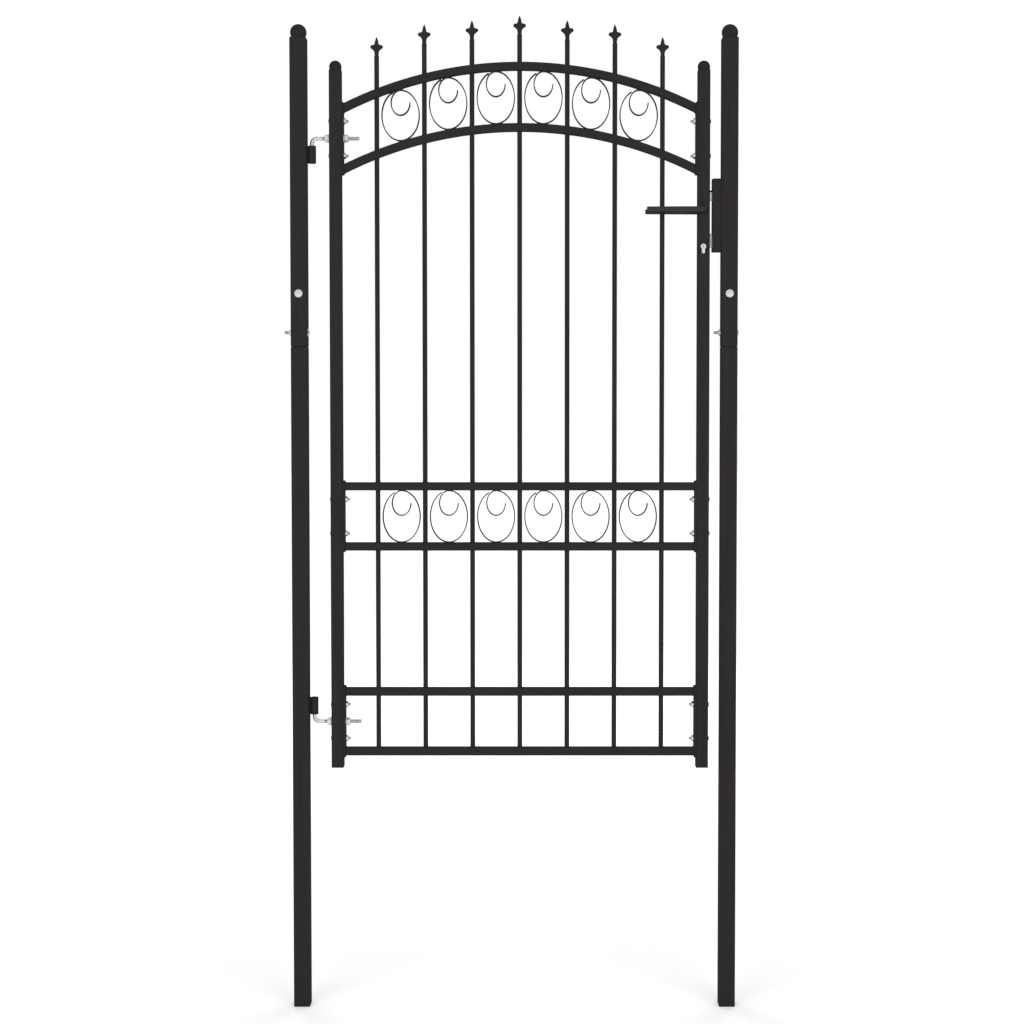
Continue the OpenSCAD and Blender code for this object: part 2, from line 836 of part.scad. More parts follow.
// A washer at x = 0 and its nut beyond it, bored for the rod
module nut_and_washer() {
    rotate([0, 90, 0])
        difference() {
            union() {
                cylinder(d = rod_washer_d, h = rod_washer_t, $fn = ROUND);
                translate([0, 0, rod_washer_t])
                    nut(rod_nut_af, rod_nut_h);
            }
            translate([0, 0, -THROUGH])
                cylinder(r = rod_d / 2 + rod_clear, h = rod_washer_t + rod_nut_h + 2 * THROUGH, $fn = ROUND);
        }
}

module hinge_rod_nuts() {
    color(ZINC)
        for (z = [bottom_pair_z, arch_pair_z]) {
            translate([leaf_x + stile_w + plate_t, 0, z])
                nut_and_washer();
            translate([leaf_x, 0, z])
                mirror([1, 0, 0])
                    nut_and_washer();
        }
}

// ---- lock and handle ----

// The room for a bolt of thickness t, from z = low to z = high
module bolt_pocket(t, low, high) {
    translate([pocket_x, -t / 2 - bolt_clear, low - bolt_clear])
        cube([leaf_end_x - pocket_x + THROUGH, t + 2 * bolt_clear, high - low + 2 * bolt_clear]);
}

module lock_case() {
    color(STEEL)
        difference() {
            union() {
                translate([case_x, -case_t / 2, handle_z - case_below])
                    cube([case_w, case_t, case_below + case_above]);
                translate([leaf_end_x - face_t, -face_w / 2, keep_z - face_len / 2])
                    cube([face_t, face_w, face_len]);
            }
            bolt_pocket(latch_bolt_t, latch_low, latch_high + glide_h);
            bolt_pocket(dead_bolt_t, dead_low, dead_high);
            translate([handle_x, 0, handle_z])
                along_y(spindle_hole_d, case_t + 2 * THROUGH);
            key_prism(case_clear, case_t + 2 * THROUGH);
        }
}

// Two halves on a bridge: the dead bolt slides through the slot between them
module key_cylinder() {
    slot_t = dead_bolt_t + 2 * key_slot_clear;
    color(ZINC)
        difference() {
            key_prism(0, stile_w + 2 * key_proud);
            translate([handle_x - key_d, -slot_t / 2, key_z + key_d / 2 - key_h + key_bridge_h])
                cube([2 * key_d, slot_t, key_h]);
        }
}

// The latch bolt's plan, bevelled on the front so that it rides over the keep
module latch_plan(h) {
    linear_extrude(h)
        polygon([
            [0, -latch_bolt_t / 2],
            [bolt_len - latch_bevel, -latch_bolt_t / 2],
            [bolt_len, latch_bolt_t / 2 - latch_nose_t],
            [bolt_len, latch_bolt_t / 2],
            [0, latch_bolt_t / 2]
        ]);
}

module latch_bolt() {
    color(STEEL)
        translate([leaf_end_x + bolt_throw - bolt_len, 0, latch_low])
            latch_plan(latch_bolt_h);
}

module latch_glide() {
    color(BLACK)
        translate([leaf_end_x + bolt_throw - bolt_len, 0, latch_high])
            latch_plan(glide_h);
}

module dead_bolt() {
    color(STEEL)
        translate([leaf_end_x + bolt_throw - bolt_len, -dead_bolt_t / 2, dead_low])
            cube([bolt_len, dead_bolt_t, dead_bolt_h]);
}

// The lever on the front: its grip points to the hinge side, its neck reaches into the stile
module lever() {
    grip_y = -stile_w / 2 - lever_reach;
    neck_end_y = -case_t / 2 - neck_gap;
    half_h = lever_h / 2;
    translate([0, grip_y + lever_t / 2, 0])
        rotate([90, 0, 0])
            linear_extrude(lever_t) {
                translate([lever_tip_r - lever_len, -half_h])
                    square([lever_len - lever_tip_r, lever_h]);
                translate([-lever_len, lever_tip_r - half_h])
                    square([2 * lever_tip_r, lever_h - 2 * lever_tip_r]);
                for (z = [lever_tip_r - half_h, half_h - lever_tip_r])
                    translate([lever_tip_r - lever_len, z])
                        circle(lever_tip_r, $fn = ROUND);
                circle(d = neck_d, $fn = ROUND);
            }
    difference() {
        translate([0, neck_end_y, 0])
            rotate([90, 0, 0])
                cylinder(d = neck_d, h = neck_end_y - grip_y, $fn = ROUND);
        translate([-spindle_w / 2, grip_y + lever_t / 2, -spindle_w / 2])
            cube([spindle_w, neck_end_y - grip_y, spindle_w]);
    }
}

module front_lever() {
    color(BLACK)
        translate([handle_x, 0, handle_z])
            lever();
}

module rear_lever() {
    color(BLACK)
        translate([handle_x, 0, handle_z])
            mirror([0, 1, 0])
                lever();
}

module lever_spindle() {
    half = stile_w / 2 + lever_reach - lever_t / 2;
    color(STEEL)
        translate([handle_x - spindle_w / 2, -half, handle_z - spindle_w / 2])
            cube([spindle_w, 2 * half, spindle_w]);
}

post_lower(0);  // hinge_post_lower
post_upper(0);  // hinge_post_upper
post_lower(latch_post_x);  // latch_post_lower
post_upper(latch_post_x);  // latch_post_upper
post_sleeves();
post_caps();
post_bolts();
upper_hinge_barrel();
lower_hinge_barrel();
latch_keep();
hinge_stile();
latch_stile();
stile_caps();
top_arch_rail();
lower_arch_rail();
middle_upper_rail();
middle_lower_rail();
bottom_upper_rail();
bottom_lower_rail();
picket(1);  // picket_1
picket(2);  // picket_2
picket(3);  // picket_3
picket(4);  // picket_4
picket(5);  // picket_5
picket(6);  // picket_6
picket(7);  // picket_7
spear_points();
arch_scrolls();
middle_scrolls();
arch_end_plates();
middle_end_plates();
bottom_end_plates();
plate_bolts();
upper_hinge_rod();
lower_hinge_rod();
hinge_rod_nuts();
lock_case();
key_cylinder();
latch_bolt();
latch_glide();
dead_bolt();
front_lever();
rear_lever();
lever_spindle();
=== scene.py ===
"""Looks of the steel swing gate: finishes, detailed pieces, the studio and the camera."""
import logging
import math
from dataclasses import dataclass, replace
from enum import Enum
from typing import Iterable, Sequence

import bmesh
import bpy
import numpy as np
import numpy.typing as npt
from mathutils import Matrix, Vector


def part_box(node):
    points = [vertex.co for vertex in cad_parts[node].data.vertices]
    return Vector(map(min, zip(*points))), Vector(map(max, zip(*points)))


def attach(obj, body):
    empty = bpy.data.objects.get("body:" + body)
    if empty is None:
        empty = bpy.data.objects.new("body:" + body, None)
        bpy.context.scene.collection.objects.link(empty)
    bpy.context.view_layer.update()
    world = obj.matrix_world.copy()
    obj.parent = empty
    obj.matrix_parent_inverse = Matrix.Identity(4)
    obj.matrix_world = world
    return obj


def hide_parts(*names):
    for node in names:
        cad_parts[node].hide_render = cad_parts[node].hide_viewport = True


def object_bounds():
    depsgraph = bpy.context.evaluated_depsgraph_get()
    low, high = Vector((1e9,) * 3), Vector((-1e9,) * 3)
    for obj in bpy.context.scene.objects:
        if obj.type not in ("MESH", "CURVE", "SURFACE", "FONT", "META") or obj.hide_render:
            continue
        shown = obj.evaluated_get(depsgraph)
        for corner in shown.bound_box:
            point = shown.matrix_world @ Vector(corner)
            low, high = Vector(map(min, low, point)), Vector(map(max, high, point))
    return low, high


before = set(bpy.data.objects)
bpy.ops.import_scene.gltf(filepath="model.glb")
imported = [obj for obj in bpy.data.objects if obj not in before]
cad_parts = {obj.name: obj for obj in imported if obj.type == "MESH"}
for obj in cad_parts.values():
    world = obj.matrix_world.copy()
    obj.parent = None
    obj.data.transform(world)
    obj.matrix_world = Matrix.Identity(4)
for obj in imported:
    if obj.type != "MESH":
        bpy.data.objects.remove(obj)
CAD_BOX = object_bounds()

Array = npt.NDArray[np.float64]
MM = 0.001
FULL_TURN = 2 * math.pi
# The least angles at which an edge is shaded as sharp, and at which it is bevelled.
SHARP_ANGLE = math.radians(38)
BEVEL_ANGLE = math.radians(40)
# In a copied mesh, faces this flat are made one, and so are points this near.
FLAT_ANGLE = math.radians(0.5)
MERGE_REACH = 0.01 * MM
# Points round a turned piece, round a rod and round a weld bead.
TURNED_COLUMNS = 64
ROD_COLUMNS = 24
BEAD_COLUMNS = 8
# Points round the weld at a picket, and its ripples.
RING_POINTS = 44
RING_RIPPLES = 11
# How far, in radians, a profile's points crowd towards its corners.
CROWDING = 0.17
# A bead's swell over each ripple, and the least sine that its open ends taper to.
BEAD_SWELL = 0.1
BEAD_END = 0.04
# The share of its radius that a rod keeps at its chamfered end.
ROD_END = 0.8
LOG = logging.getLogger("gate")


class Body(Enum):
    """The moving bodies of the frame."""

    POSTS = "posts"
    LEAF = "leaf"
    HANDLE = "handle"
    LATCH = "latch"
    DEADLOCK = "deadlock"


class Slot(Enum):
    """The record's material slots."""

    FRAME = "frame_black"
    HANDLE = "handle_black"
    CAP = "cap_black"
    ZINC = "zinc_plate"
    STEEL = "plain_steel"


class Facing(Enum):
    """Turns that lay a shape's own +Z along a direction of the gate, as rows of a rotation."""

    UP = ((1, 0, 0), (0, 1, 0), (0, 0, 1))
    RIGHT = ((0, 0, 1), (1, 0, 0), (0, 1, 0))
    LEFT = ((0, 0, -1), (1, 0, 0), (0, -1, 0))
    FRONT = ((1, 0, 0), (0, 0, -1), (0, 1, 0))


# ---- surfaces ----


@dataclass(frozen=True)
class Shell:
    """A closed skin of quads and triangles over one array of points."""

    points: Array
    quads: Array
    tris: Array

    @staticmethod
    def join(shells: Iterable["Shell"]) -> "Shell":
        """Puts several skins into one, each with its point numbers moved past the last one's.

        Args:
            shells: the skins, which stay apart.

        Returns:
            One skin that holds them all.
        """
        parts = list(shells)
        starts = np.cumsum([0] + [len(part.points) for part in parts[:-1]])
        return Shell(
            np.concatenate([part.points for part in parts]),
            np.concatenate([part.quads + start for part, start in zip(parts, starts)]),
            np.concatenate([part.tris + start for part, start in zip(parts, starts)]),
        )

    def volume(self) -> float:
        """The enclosed volume.

        It is a sixth of the sum of the corners' triple products, over every triangle and both
        halves of every quad.

        Returns:
            The volume, negative where the faces point inwards.
        """
        halves = np.concatenate([self.tris, self.quads[:, [0, 1, 2]], self.quads[:, [0, 2, 3]]])
        a, b, c = (self.points[halves[:, k]] for k in range(3))
        return float(np.einsum("ij,ij->", a, np.cross(b, c))) / 6

    def outward(self) -> "Shell":
        """The same skin with its faces turned round where its volume comes out negative.

        Returns:
            The skin, facing outwards.
        """
        if self.volume() >= 0:
            return self
        return Shell(self.points, self.quads[:, ::-1], self.tris[:, ::-1])

    def placed(self, at: Sequence[float], facing: Facing = Facing.UP) -> "Shell":
        """The skin with its own +Z turned along a direction and its origin moved to a point."""
        turn = np.array(facing.value, dtype=float)
        return Shell(self.points @ turn.T + np.array(at, dtype=float), self.quads, self.tris)

    def flipped(self, axis: int) -> "Shell":
        """The mirror image, with its faces put right again.

        Args:
            axis: 0, 1 or 2 for X, Y or Z, the axis whose sign changes.

        Returns:
            The mirrored skin.
        """
        sign = np.ones(3)
        sign[axis] = -1
        return Shell(self.points * sign, self.quads[:, ::-1], self.tris[:, ::-1])


def surface(grid: Array, ring: bool = False) -> Shell:
    """Quads over a grid of points whose columns close on themselves.

    Rows run along the piece.  An open run of rows is closed at each end by a fan of triangles
    from the end row's middle, and a ring joins its last row to its first.

    Args:
        grid: points as rows x columns x 3.
        ring: whether the rows close on themselves too.

    Returns:
        The skin, facing outwards.
    """
    rows, columns = grid.shape[:2]
    number = np.arange(rows * columns).reshape(rows, columns)
    ahead = np.roll(number, -1, axis=1)
    above, above_ahead = np.roll(number, -1, axis=0), np.roll(ahead, -1, axis=0)
    last = rows if ring else rows - 1
    quads = np.stack([number, ahead, above_ahead, above], axis=-1)[:last].reshape(-1, 4)
    points = grid.reshape(-1, 3)
    if ring:
        return Shell(points, quads, np.empty((0, 3), dtype=int)).outward()
    middles = np.stack([grid[0].mean(axis=0), grid[-1].mean(axis=0)])
    first, end = np.full(columns, rows * columns), np.full(columns, rows * columns + 1)
    tris = np.concatenate([
        np.stack([first, ahead[0], number[0]], axis=-1),
        np.stack([end, number[-1], ahead[-1]], axis=-1),
    ])
    return Shell(np.concatenate([points, middles]), quads, tris).outward()


def angles(columns: int) -> Array:
    """Evenly spaced angles round a full turn, without the last one."""
    return np.linspace(0, FULL_TURN, columns, endpoint=False)


def arc(centre: Sequence[float], radius: float, start: float, end: float, steps: int) -> Array:
    """Points of a circular arc: the centre plus the radius at each angle in degrees."""
    t = np.radians(np.linspace(start, end, steps))
    return np.stack([centre[0] + radius * np.cos(t), centre[1] + radius * np.sin(t)], axis=-1)


def circle(columns: int) -> Array:
    """The unit circle as columns x 2."""
    return np.stack([np.cos(angles(columns)), np.sin(angles(columns))], axis=-1)


def lathe(profile: Array, columns: int, ring: bool = False) -> Shell:
    """A surface of revolution: each profile point (radius, height) carried round the Z axis.

    Args:
        profile: the radii and heights, as rows x 2.
        columns: points round the axis.
        ring: whether the profile closes on itself round a hole.

    Returns:
        The skin.
    """
    around = circle(columns)
    flat = profile[:, None, :1] * around[None]
    height = np.repeat(profile[:, None, 1:], columns, axis=1)
    return surface(np.concatenate([flat, height], axis=-1), ring)


def sweep(sections: Array, path: Array, side: Sequence[float], ring: bool = False) -> Shell:
    """A profile carried along a path.

    Each section point (u, v) goes to the path point, plus u times the normal, plus v times the
    side direction.  The normal is the side direction crossed with the path's own direction.

    Args:
        sections: a profile for every path point, as rows x columns x 2, or one for them all.
        path: the path's points, as rows x 3.
        side: the direction that stays level with the profile's v.
        ring: whether the path closes on itself.

    Returns:
        The skin.
    """
    if ring:
        along = np.roll(path, -1, axis=0) - np.roll(path, 1, axis=0)
    else:
        along = np.gradient(path, axis=0)
    level = np.array(side, dtype=float)
    normal = np.cross(level, along)
    normal /= np.linalg.norm(normal, axis=1, keepdims=True)
    sections = np.broadcast_to(sections, (len(path),) + sections.shape[-2:])
    grid = (path[:, None] + sections[..., :1] * normal[:, None]
            + sections[..., 1:] * level[None, None])
    return surface(grid, ring)


def superellipse(half_u: Array, half_v: Array, power: Array, columns: int) -> Array:
    """Profiles between a circle and a rounded rectangle, one for every row.

    At each angle, u and v are the half sizes times the cosine and the sine, divided by the sum
    of their sizes raised to the power, taken to one over the power.  The angles crowd towards
    the corners by a sine of four times the angle.

    Args:
        half_u: half the width of each row.
        half_v: half the height of each row.
        power: 2 for an ellipse, more for squarer corners.
        columns: points round each profile.

    Returns:
        The profiles, as rows x columns x 2.
    """
    t = angles(columns)
    t = t + CROWDING * np.sin(4 * t)
    c, s, p = np.cos(t)[None], np.sin(t)[None], power[:, None]
    reach = (np.abs(c) ** p + np.abs(s) ** p) ** (-1 / p)
    return np.stack([half_u[:, None] * c * reach, half_v[:, None] * s * reach], axis=-1)


def rounded_outline(corners: Array, radius: float, steps: int = 5) -> tuple[Array, Array]:
    """A convex outline with its corners rounded.

    Each corner becomes an arc, from the normal of the edge before it to the normal of the edge
    after it, about a centre one radius inside both edges.

    Args:
        corners: the corners, anticlockwise, as count x 2.
        radius: the radius of every corner.
        steps: points in each arc.

    Returns:
        The outline's points and its outward normals.
    """
    after = np.roll(corners, -1, axis=0) - corners
    after /= np.linalg.norm(after, axis=1, keepdims=True)
    after_normal = np.stack([after[:, 1], -after[:, 0]], axis=-1)
    before_normal = np.roll(after_normal, 1, axis=0)
    together = 1 + np.einsum("ij,ij->i", before_normal, after_normal)
    centres = corners - radius * (before_normal + after_normal) / together[:, None]
    start = np.arctan2(before_normal[:, 1], before_normal[:, 0])
    turn = np.arctan2(after_normal[:, 1], after_normal[:, 0]) - start
    turn = (turn + math.pi) % FULL_TURN - math.pi
    t = start[:, None] + turn[:, None] * np.linspace(0, 1, steps)[None]
    normals = np.stack([np.cos(t), np.sin(t)], axis=-1)
    points = centres[:, None] + radius * normals
    return points.reshape(-1, 2), normals.reshape(-1, 2)


def rectangle(width: float, depth: float) -> Array:
    """The four corners of a rectangle about the origin, anticlockwise."""
    return np.array([[-1, -1], [1, -1], [1, 1], [-1, 1]]) * np.array([width, depth]) / 2


def slab(corners: Array, height: float, corner: float, edge: float, steps: int = 4) -> Shell:
    """An outline carried up from z = 0, with every edge rounded.

    Near each end the outline steps in along its normals by the edge radius times one less the
    cosine, while it rises by the radius times the sine.

    Args:
        corners: the convex outline, anticlockwise.
        height: the length along Z.
        corner: the radius of the outline's corners, at least the edge radius.
        edge: the radius of the two end edges.
        steps: rows in each rounded edge.

    Returns:
        The skin.
    """
    points, normals = rounded_outline(corners, corner)
    t = np.linspace(0, math.pi / 2, steps)
    inset = np.concatenate([edge * (1 - np.sin(t)), edge * (1 - np.cos(t))])
    level = np.concatenate([edge * (1 - np.cos(t)), height - edge * (1 - np.sin(t))])
    flat = points[None] - inset[:, None, None] * normals[None]
    rise = np.broadcast_to(level[:, None, None], flat.shape[:2] + (1,))
    return surface(np.concatenate([flat, rise], axis=-1))


def distances(path: Array) -> Array:
    """The length gone along a path at each of its points."""
    steps = np.linalg.norm(np.diff(path, axis=0), axis=1)
    return np.concatenate([[0], np.cumsum(steps)])


def bead(path: Array, side: Sequence[float], radius: float, ripple: float, ring: bool) -> Shell:
    """A weld bead: a circle carried along the path.

    Its radius swells as the size of a sine wave, once in every ripple's length.  An open bead
    tapers at both ends as the root of a sine.

    Args:
        path: the path's points.
        side: a direction square to the path.
        radius: the bead's mean radius.
        ripple: the length of one ripple.
        ring: whether the bead closes on itself.

    Returns:
        The skin.
    """
    gone = distances(path)
    wave = np.abs(np.sin(math.pi * gone / ripple))
    size = radius * (1 - BEAD_SWELL / 2 + BEAD_SWELL * wave)
    if not ring:
        size = size * np.sqrt(np.maximum(np.sin(math.pi * gone / gone[-1]), BEAD_END))
    return sweep(size[:, None, None] * circle(BEAD_COLUMNS)[None], path, side, ring)


# ---- fasteners ----


@dataclass(frozen=True)
class Thread:
    """A metric thread: its outer diameter, its pitch and its form in shares of the pitch."""

    diameter: float
    pitch: float
    depth: float = 0.61
    steepness: float = 1.3
    crest: float = 0.15
    rows_per_pitch: int = 6

    def groove(self, along: Array, columns: int) -> Array:
        """How deep the surface lies under the crest.

        The place in the pitch is the length along divided by the pitch, less the share of the
        turn.  The depth rises and falls straight with it and is cut flat at crest and root.

        Args:
            along: the length along the axis of every row.
            columns: points round the axis.

        Returns:
            The depths, as rows x columns.
        """
        share = along[:, None] / self.pitch - angles(columns)[None] / FULL_TURN
        wave = np.abs(2 * (share % 1) - 1)
        return self.depth * self.pitch * np.clip(self.steepness * wave - self.crest, 0, 1)

    def rows(self, start: float, end: float) -> Array:
        """Evenly spaced lengths with several rows to each pitch."""
        count = int(self.rows_per_pitch * (end - start) / self.pitch)
        return np.linspace(start, end, max(count, 2))


@dataclass(frozen=True)
class Nut:
    """A hexagon nut on a thread, standing on z = 0.

    Its end faces reach to a share of the flats, past which a cone cuts the corners down.  Its
    bore has an eased rim.
    """

    across_flats: float
    height: float
    bore: float
    face: float = 0.96
    cone_degrees: float = 30.0
    rim: float = 0.08
    rim_sink: float = 0.4
    columns: int = 96

    def shell(self) -> Shell:
        """Builds the nut.

        Its radius at each angle is the hexagon's, which is half the flats over the cosine of
        the angle from the nearest flat, cut down to each row's own limit: the limits open as a
        cone from the end faces, so the corners get their chamfer.

        Returns:
            The skin.
        """
        t = angles(self.columns)
        sixth = FULL_TURN / 6
        flat_r = self.across_flats / 2
        hexagon = flat_r / np.cos((t + sixth / 2) % sixth - sixth / 2)
        corner_r, face_r = flat_r / math.cos(sixth / 2), self.face * flat_r
        slope = math.tan(math.radians(self.cone_degrees))
        cone = (corner_r - face_r) * slope
        inner = self.bore / 2
        limit = np.array([inner, inner + self.rim * flat_r, face_r, flat_r, corner_r])
        level = np.array([self.rim_sink * cone, 0, 0, (flat_r - face_r) * slope, cone])
        limit = np.concatenate([limit, limit[::-1]])
        level = np.concatenate([level, self.height - level[::-1]])
        radius = np.minimum(hexagon[None], limit[:, None])
        grid = np.stack([radius * np.cos(t), radius * np.sin(t),
                         np.broadcast_to(level[:, None], radius.shape)], axis=-1)
        return surface(grid)


def washer(outer: float, inner: float, height: float, edge: float) -> Shell:
    """A flat ring on z = 0: a rounded rectangle carried round the axis.

    Args:
        outer: its outer diameter.
        inner: its inner diameter.
        height: how thick it is.
        edge: the radius of its edges.

    Returns:
        The skin.
    """
    outline, _ = rounded_outline(rectangle((outer - inner) / 2, height), edge, 4)
    middle = np.array([(outer + inner) / 4, height / 2])
    return lathe(outline + middle, TURNED_COLUMNS, ring=True)


def slotted_disc(radius: float, crown: float, slot_half: tuple[float, float],
                 depth: float) -> Shell:
    """A round face with a slot sunk in it, standing on z = 0.

    The height is the crown, less the slot's depth where both distances from the middle are
    smaller than the slot's half sizes, with a steep straight step between.  A skirt under the
    rim goes deeper than the slot, and the rim itself is a little eased.

    Args:
        radius: the disc's radius.
        crown: the height of its face.
        slot_half: half the slot's width and half its length.
        depth: how deep the slot is.

    Returns:
        The skin.
    """
    columns, rings = 96, 26
    ease, step, skirt = 0.03, 0.1 * radius, 1.2 * depth
    share = np.concatenate([[1, 1], np.linspace(1, ease, rings)])
    share[2] = 1 - ease
    flat = radius * share[:, None, None] * circle(columns)[None]
    inside = np.ones(flat.shape[:2])
    for axis, half in enumerate(slot_half):
        inside = inside * np.clip(0.5 + (half - np.abs(flat[..., axis])) / step, 0, 1)
    height = crown - depth * inside
    height[0], height[1] = -skirt, crown - ease * radius
    return surface(np.concatenate([flat, height[..., None]], axis=-1))


@dataclass(frozen=True)
class DomedBolt:
    """A bolt with a domed head on z = 0, a shank down through its grip, a nut and a tail."""

    thread: Thread
    head_d: float
    head_h: float
    grip: float
    nut: Nut
    tail: float
    rim_share: float = 0.18
    rim_ease: float = 0.15
    edge_share: float = 0.97
    above_nut: float = 6 * MM

    def head(self) -> Shell:
        """The head: a low sphere's cap over a thin rim with an eased foot, turned on a lathe.

        Returns:
            The skin.
        """
        half = self.head_d / 2
        rim = self.rim_share * self.head_h
        rise = self.head_h - rim
        ball_r = (half**2 + rise**2) / (2 * rise)
        reach = math.degrees(math.asin(half / ball_r))
        # The arc stops just short of the rim and of the axis, and a fan closes it.
        dome = arc((0, self.head_h - ball_r), ball_r, 90 - 0.985 * reach, 89.6, 14)
        foot = np.array([[0.2 * half, 0], [self.edge_share * half, 0],
                         [half, self.rim_ease * rim], [half, rim]])
        return lathe(np.concatenate([foot, dome]), TURNED_COLUMNS)

    def shell(self) -> Shell:
        """Builds the bolt with its nut.

        The shank is a circle carried down Z.  Its radius is the thread's less the groove, which
        starts a little above the nut, and it narrows over the last pitch to a chamfered end.

        Returns:
            The skin.
        """
        length = self.grip + self.nut.height + self.tail
        start = self.grip - self.above_nut
        along = np.concatenate([[0, start], self.thread.rows(start + 0.1 * MM, length)])
        full = self.thread.diameter / 2
        deep = self.thread.groove(along, ROD_COLUMNS) * (along > start)[:, None]
        into_end = np.maximum(0, along - length + self.thread.pitch)
        end = np.maximum(ROD_END * full, full - into_end)
        radius = np.minimum(full - deep, end[:, None])
        flat = radius[..., None] * circle(ROD_COLUMNS)[None]
        drop = np.broadcast_to(-along[:, None, None], radius.shape + (1,))
        shank = surface(np.concatenate([flat, drop], axis=-1))
        nut = self.nut.shell().placed((0, 0, -self.grip - self.nut.height))
        return Shell.join([self.head(), shank, nut])


# The bolts of the posts and of the end plates.
M8 = Thread(8 * MM, 1.25 * MM)
M8_NUT = Nut(13.2 * MM, 6.4 * MM, 7 * MM)


# ---- finishes ----

MAP_ENDS = ("From Min", "From Max", "To Min", "To Max")
# The part of a noise's range that is stretched, as little of it lies outside.
NOISE_RANGE = (0.3, 0.7)
NOISE_ROUGHNESS = 0.55
# How roughness grows from square on to edge-on: from and to these facings, by these amounts.
EDGE_ROUGHENING = (0.3, 0.75, 0.0, 0.6)


class Nodes:
    """Short ways to place and join the nodes of one material."""

    def __init__(self, name: str) -> None:
        """Makes the material.

        Args:
            name: the material's name.
        """
        self.material = bpy.data.materials.new(name)
        self.material.use_nodes = True
        self.tree = self.material.node_tree
        self.shader = self.tree.nodes["Principled BSDF"]
        self.place = self.add("ShaderNodeTexCoord").outputs["Object"]

    def add(self, kind: str, **values: object) -> bpy.types.Node:
        """Adds a node and sets its own attributes.

        Args:
            kind: the node's type.
            values: attribute names and values.

        Returns:
            The node.
        """
        node = self.tree.nodes.new(kind)
        for key, value in values.items():
            setattr(node, key, value)
        return node

    def join(self, output: bpy.types.NodeSocket, target: bpy.types.NodeSocket) -> None:
        """Joins an output to an input."""
        self.tree.links.new(output, target)

    def remap(self, value: bpy.types.NodeSocket, ends: Sequence[float],
              **values: object) -> bpy.types.NodeSocket:
        """Maps one range onto another.

        Args:
            value: the value to map.
            ends: the least and most that come in, and the least and most that go out.
            values: attribute names and values for the node.

        Returns:
            The mapped value, held within its range.
        """
        reach = self.add("ShaderNodeMapRange", **values)
        for key, number in zip(MAP_ENDS, ends):
            reach.inputs[key].default_value = number
        self.join(value, reach.inputs["Value"])
        return reach.outputs["Result"]

    def noise(self, size: Sequence[float], detail: float = 3.0) -> bpy.types.NodeSocket:
        """Noise whose grains have a real size along each axis.

        Args:
            size: the grains' size in metres along X, Y and Z.
            detail: how many finer layers are added.

        Returns:
            The noise's value, from 0 to 1.
        """
        scale = self.add("ShaderNodeMapping")
        scale.inputs["Scale"].default_value = tuple(1 / s for s in size)
        self.join(self.place, scale.inputs["Vector"])
        noise = self.add("ShaderNodeTexNoise")
        noise.inputs["Scale"].default_value = 1.0
        noise.inputs["Detail"].default_value = detail
        noise.inputs["Roughness"].default_value = NOISE_ROUGHNESS
        self.join(scale.outputs["Vector"], noise.inputs["Vector"])
        return noise.outputs["Fac"]

    def spread(self, value: bpy.types.NodeSocket, low: float,
               high: float) -> bpy.types.NodeSocket:
        """The middle of a noise's range stretched from a low to a high value."""
        return self.remap(value, (*NOISE_RANGE, low, high))

    def blend(self, share: bpy.types.NodeSocket, dark: Sequence[float],
              light: Sequence[float]) -> bpy.types.NodeSocket:
        """A colour between two.

        Args:
            share: 0 for the first colour, 1 for the second.
            dark: the first colour.
            light: the second colour.

        Returns:
            The mixed colour.
        """
        mix = self.add("ShaderNodeMix", data_type="RGBA")
        self.join(share, mix.inputs["Factor"])
        # The colour sockets of a Mix node share their names with its other kinds' sockets.
        mix.inputs[6].default_value = (*dark, 1)
        mix.inputs[7].default_value = (*light, 1)
        return mix.outputs[2]

    def satin(self, rough: bpy.types.NodeSocket) -> bpy.types.NodeSocket:
        """A roughness that grows on surfaces seen edge-on, so that their gloss is scattered.

        Args:
            rough: the roughness seen square on.

        Returns:
            The roughness.
        """
        weight = self.add("ShaderNodeLayerWeight")
        weight.inputs["Blend"].default_value = 0.5
        total = self.add("ShaderNodeMath", operation="ADD", use_clamp=True)
        self.join(rough, total.inputs[0])
        self.join(self.remap(weight.outputs["Facing"], EDGE_ROUGHENING), total.inputs[1])
        return total.outputs[0]

    def bump(self, height: bpy.types.NodeSocket, distance: float,
             under: bpy.types.NodeSocket | None = None) -> bpy.types.NodeSocket:
        """Bends the normal by a height.

        Args:
            height: the height, from 0 to 1.
            distance: what a height of 1 stands for, in metres.
            under: a bent normal that this one lies on.

        Returns:
            The bent normal.
        """
        node = self.add("ShaderNodeBump")
        node.inputs["Distance"].default_value = distance
        self.join(height, node.inputs["Height"])
        if under is not None:
            self.join(under, node.inputs["Normal"])
        return node.outputs["Normal"]


@dataclass(frozen=True)
class Finish:
    """What every finish has: a name, two shades of its colour and a range of roughness.

    The rim is the tint of a metal's reflection seen edge-on.
    """

    name: str
    slot: Slot
    dark: tuple[float, float, float]
    light: tuple[float, float, float]
    smooth: float
    rough: float
    metallic: float = 0.0
    specular: float = 0.5
    rim: tuple[float, float, float] = (1.0, 1.0, 1.0)

    def sketch(self) -> Nodes:
        """The material with the constants on the shader's own sockets.

        Returns:
            The material, to be painted.
        """
        nodes = Nodes(self.name)
        nodes.shader.inputs["Metallic"].default_value = self.metallic
        nodes.shader.inputs["Specular IOR Level"].default_value = self.specular
        nodes.shader.inputs["Specular Tint"].default_value = (*self.rim, 1)
        return nodes

    def material(self) -> bpy.types.Material:
        """The material, made once."""
        known = bpy.data.materials.get(self.name)
        return known if known is not None else self.paint(self.sketch())

    def paint(self, nodes: Nodes) -> bpy.types.Material:
        """Adds this finish's own nodes and hands back the finished material."""
        raise NotImplementedError


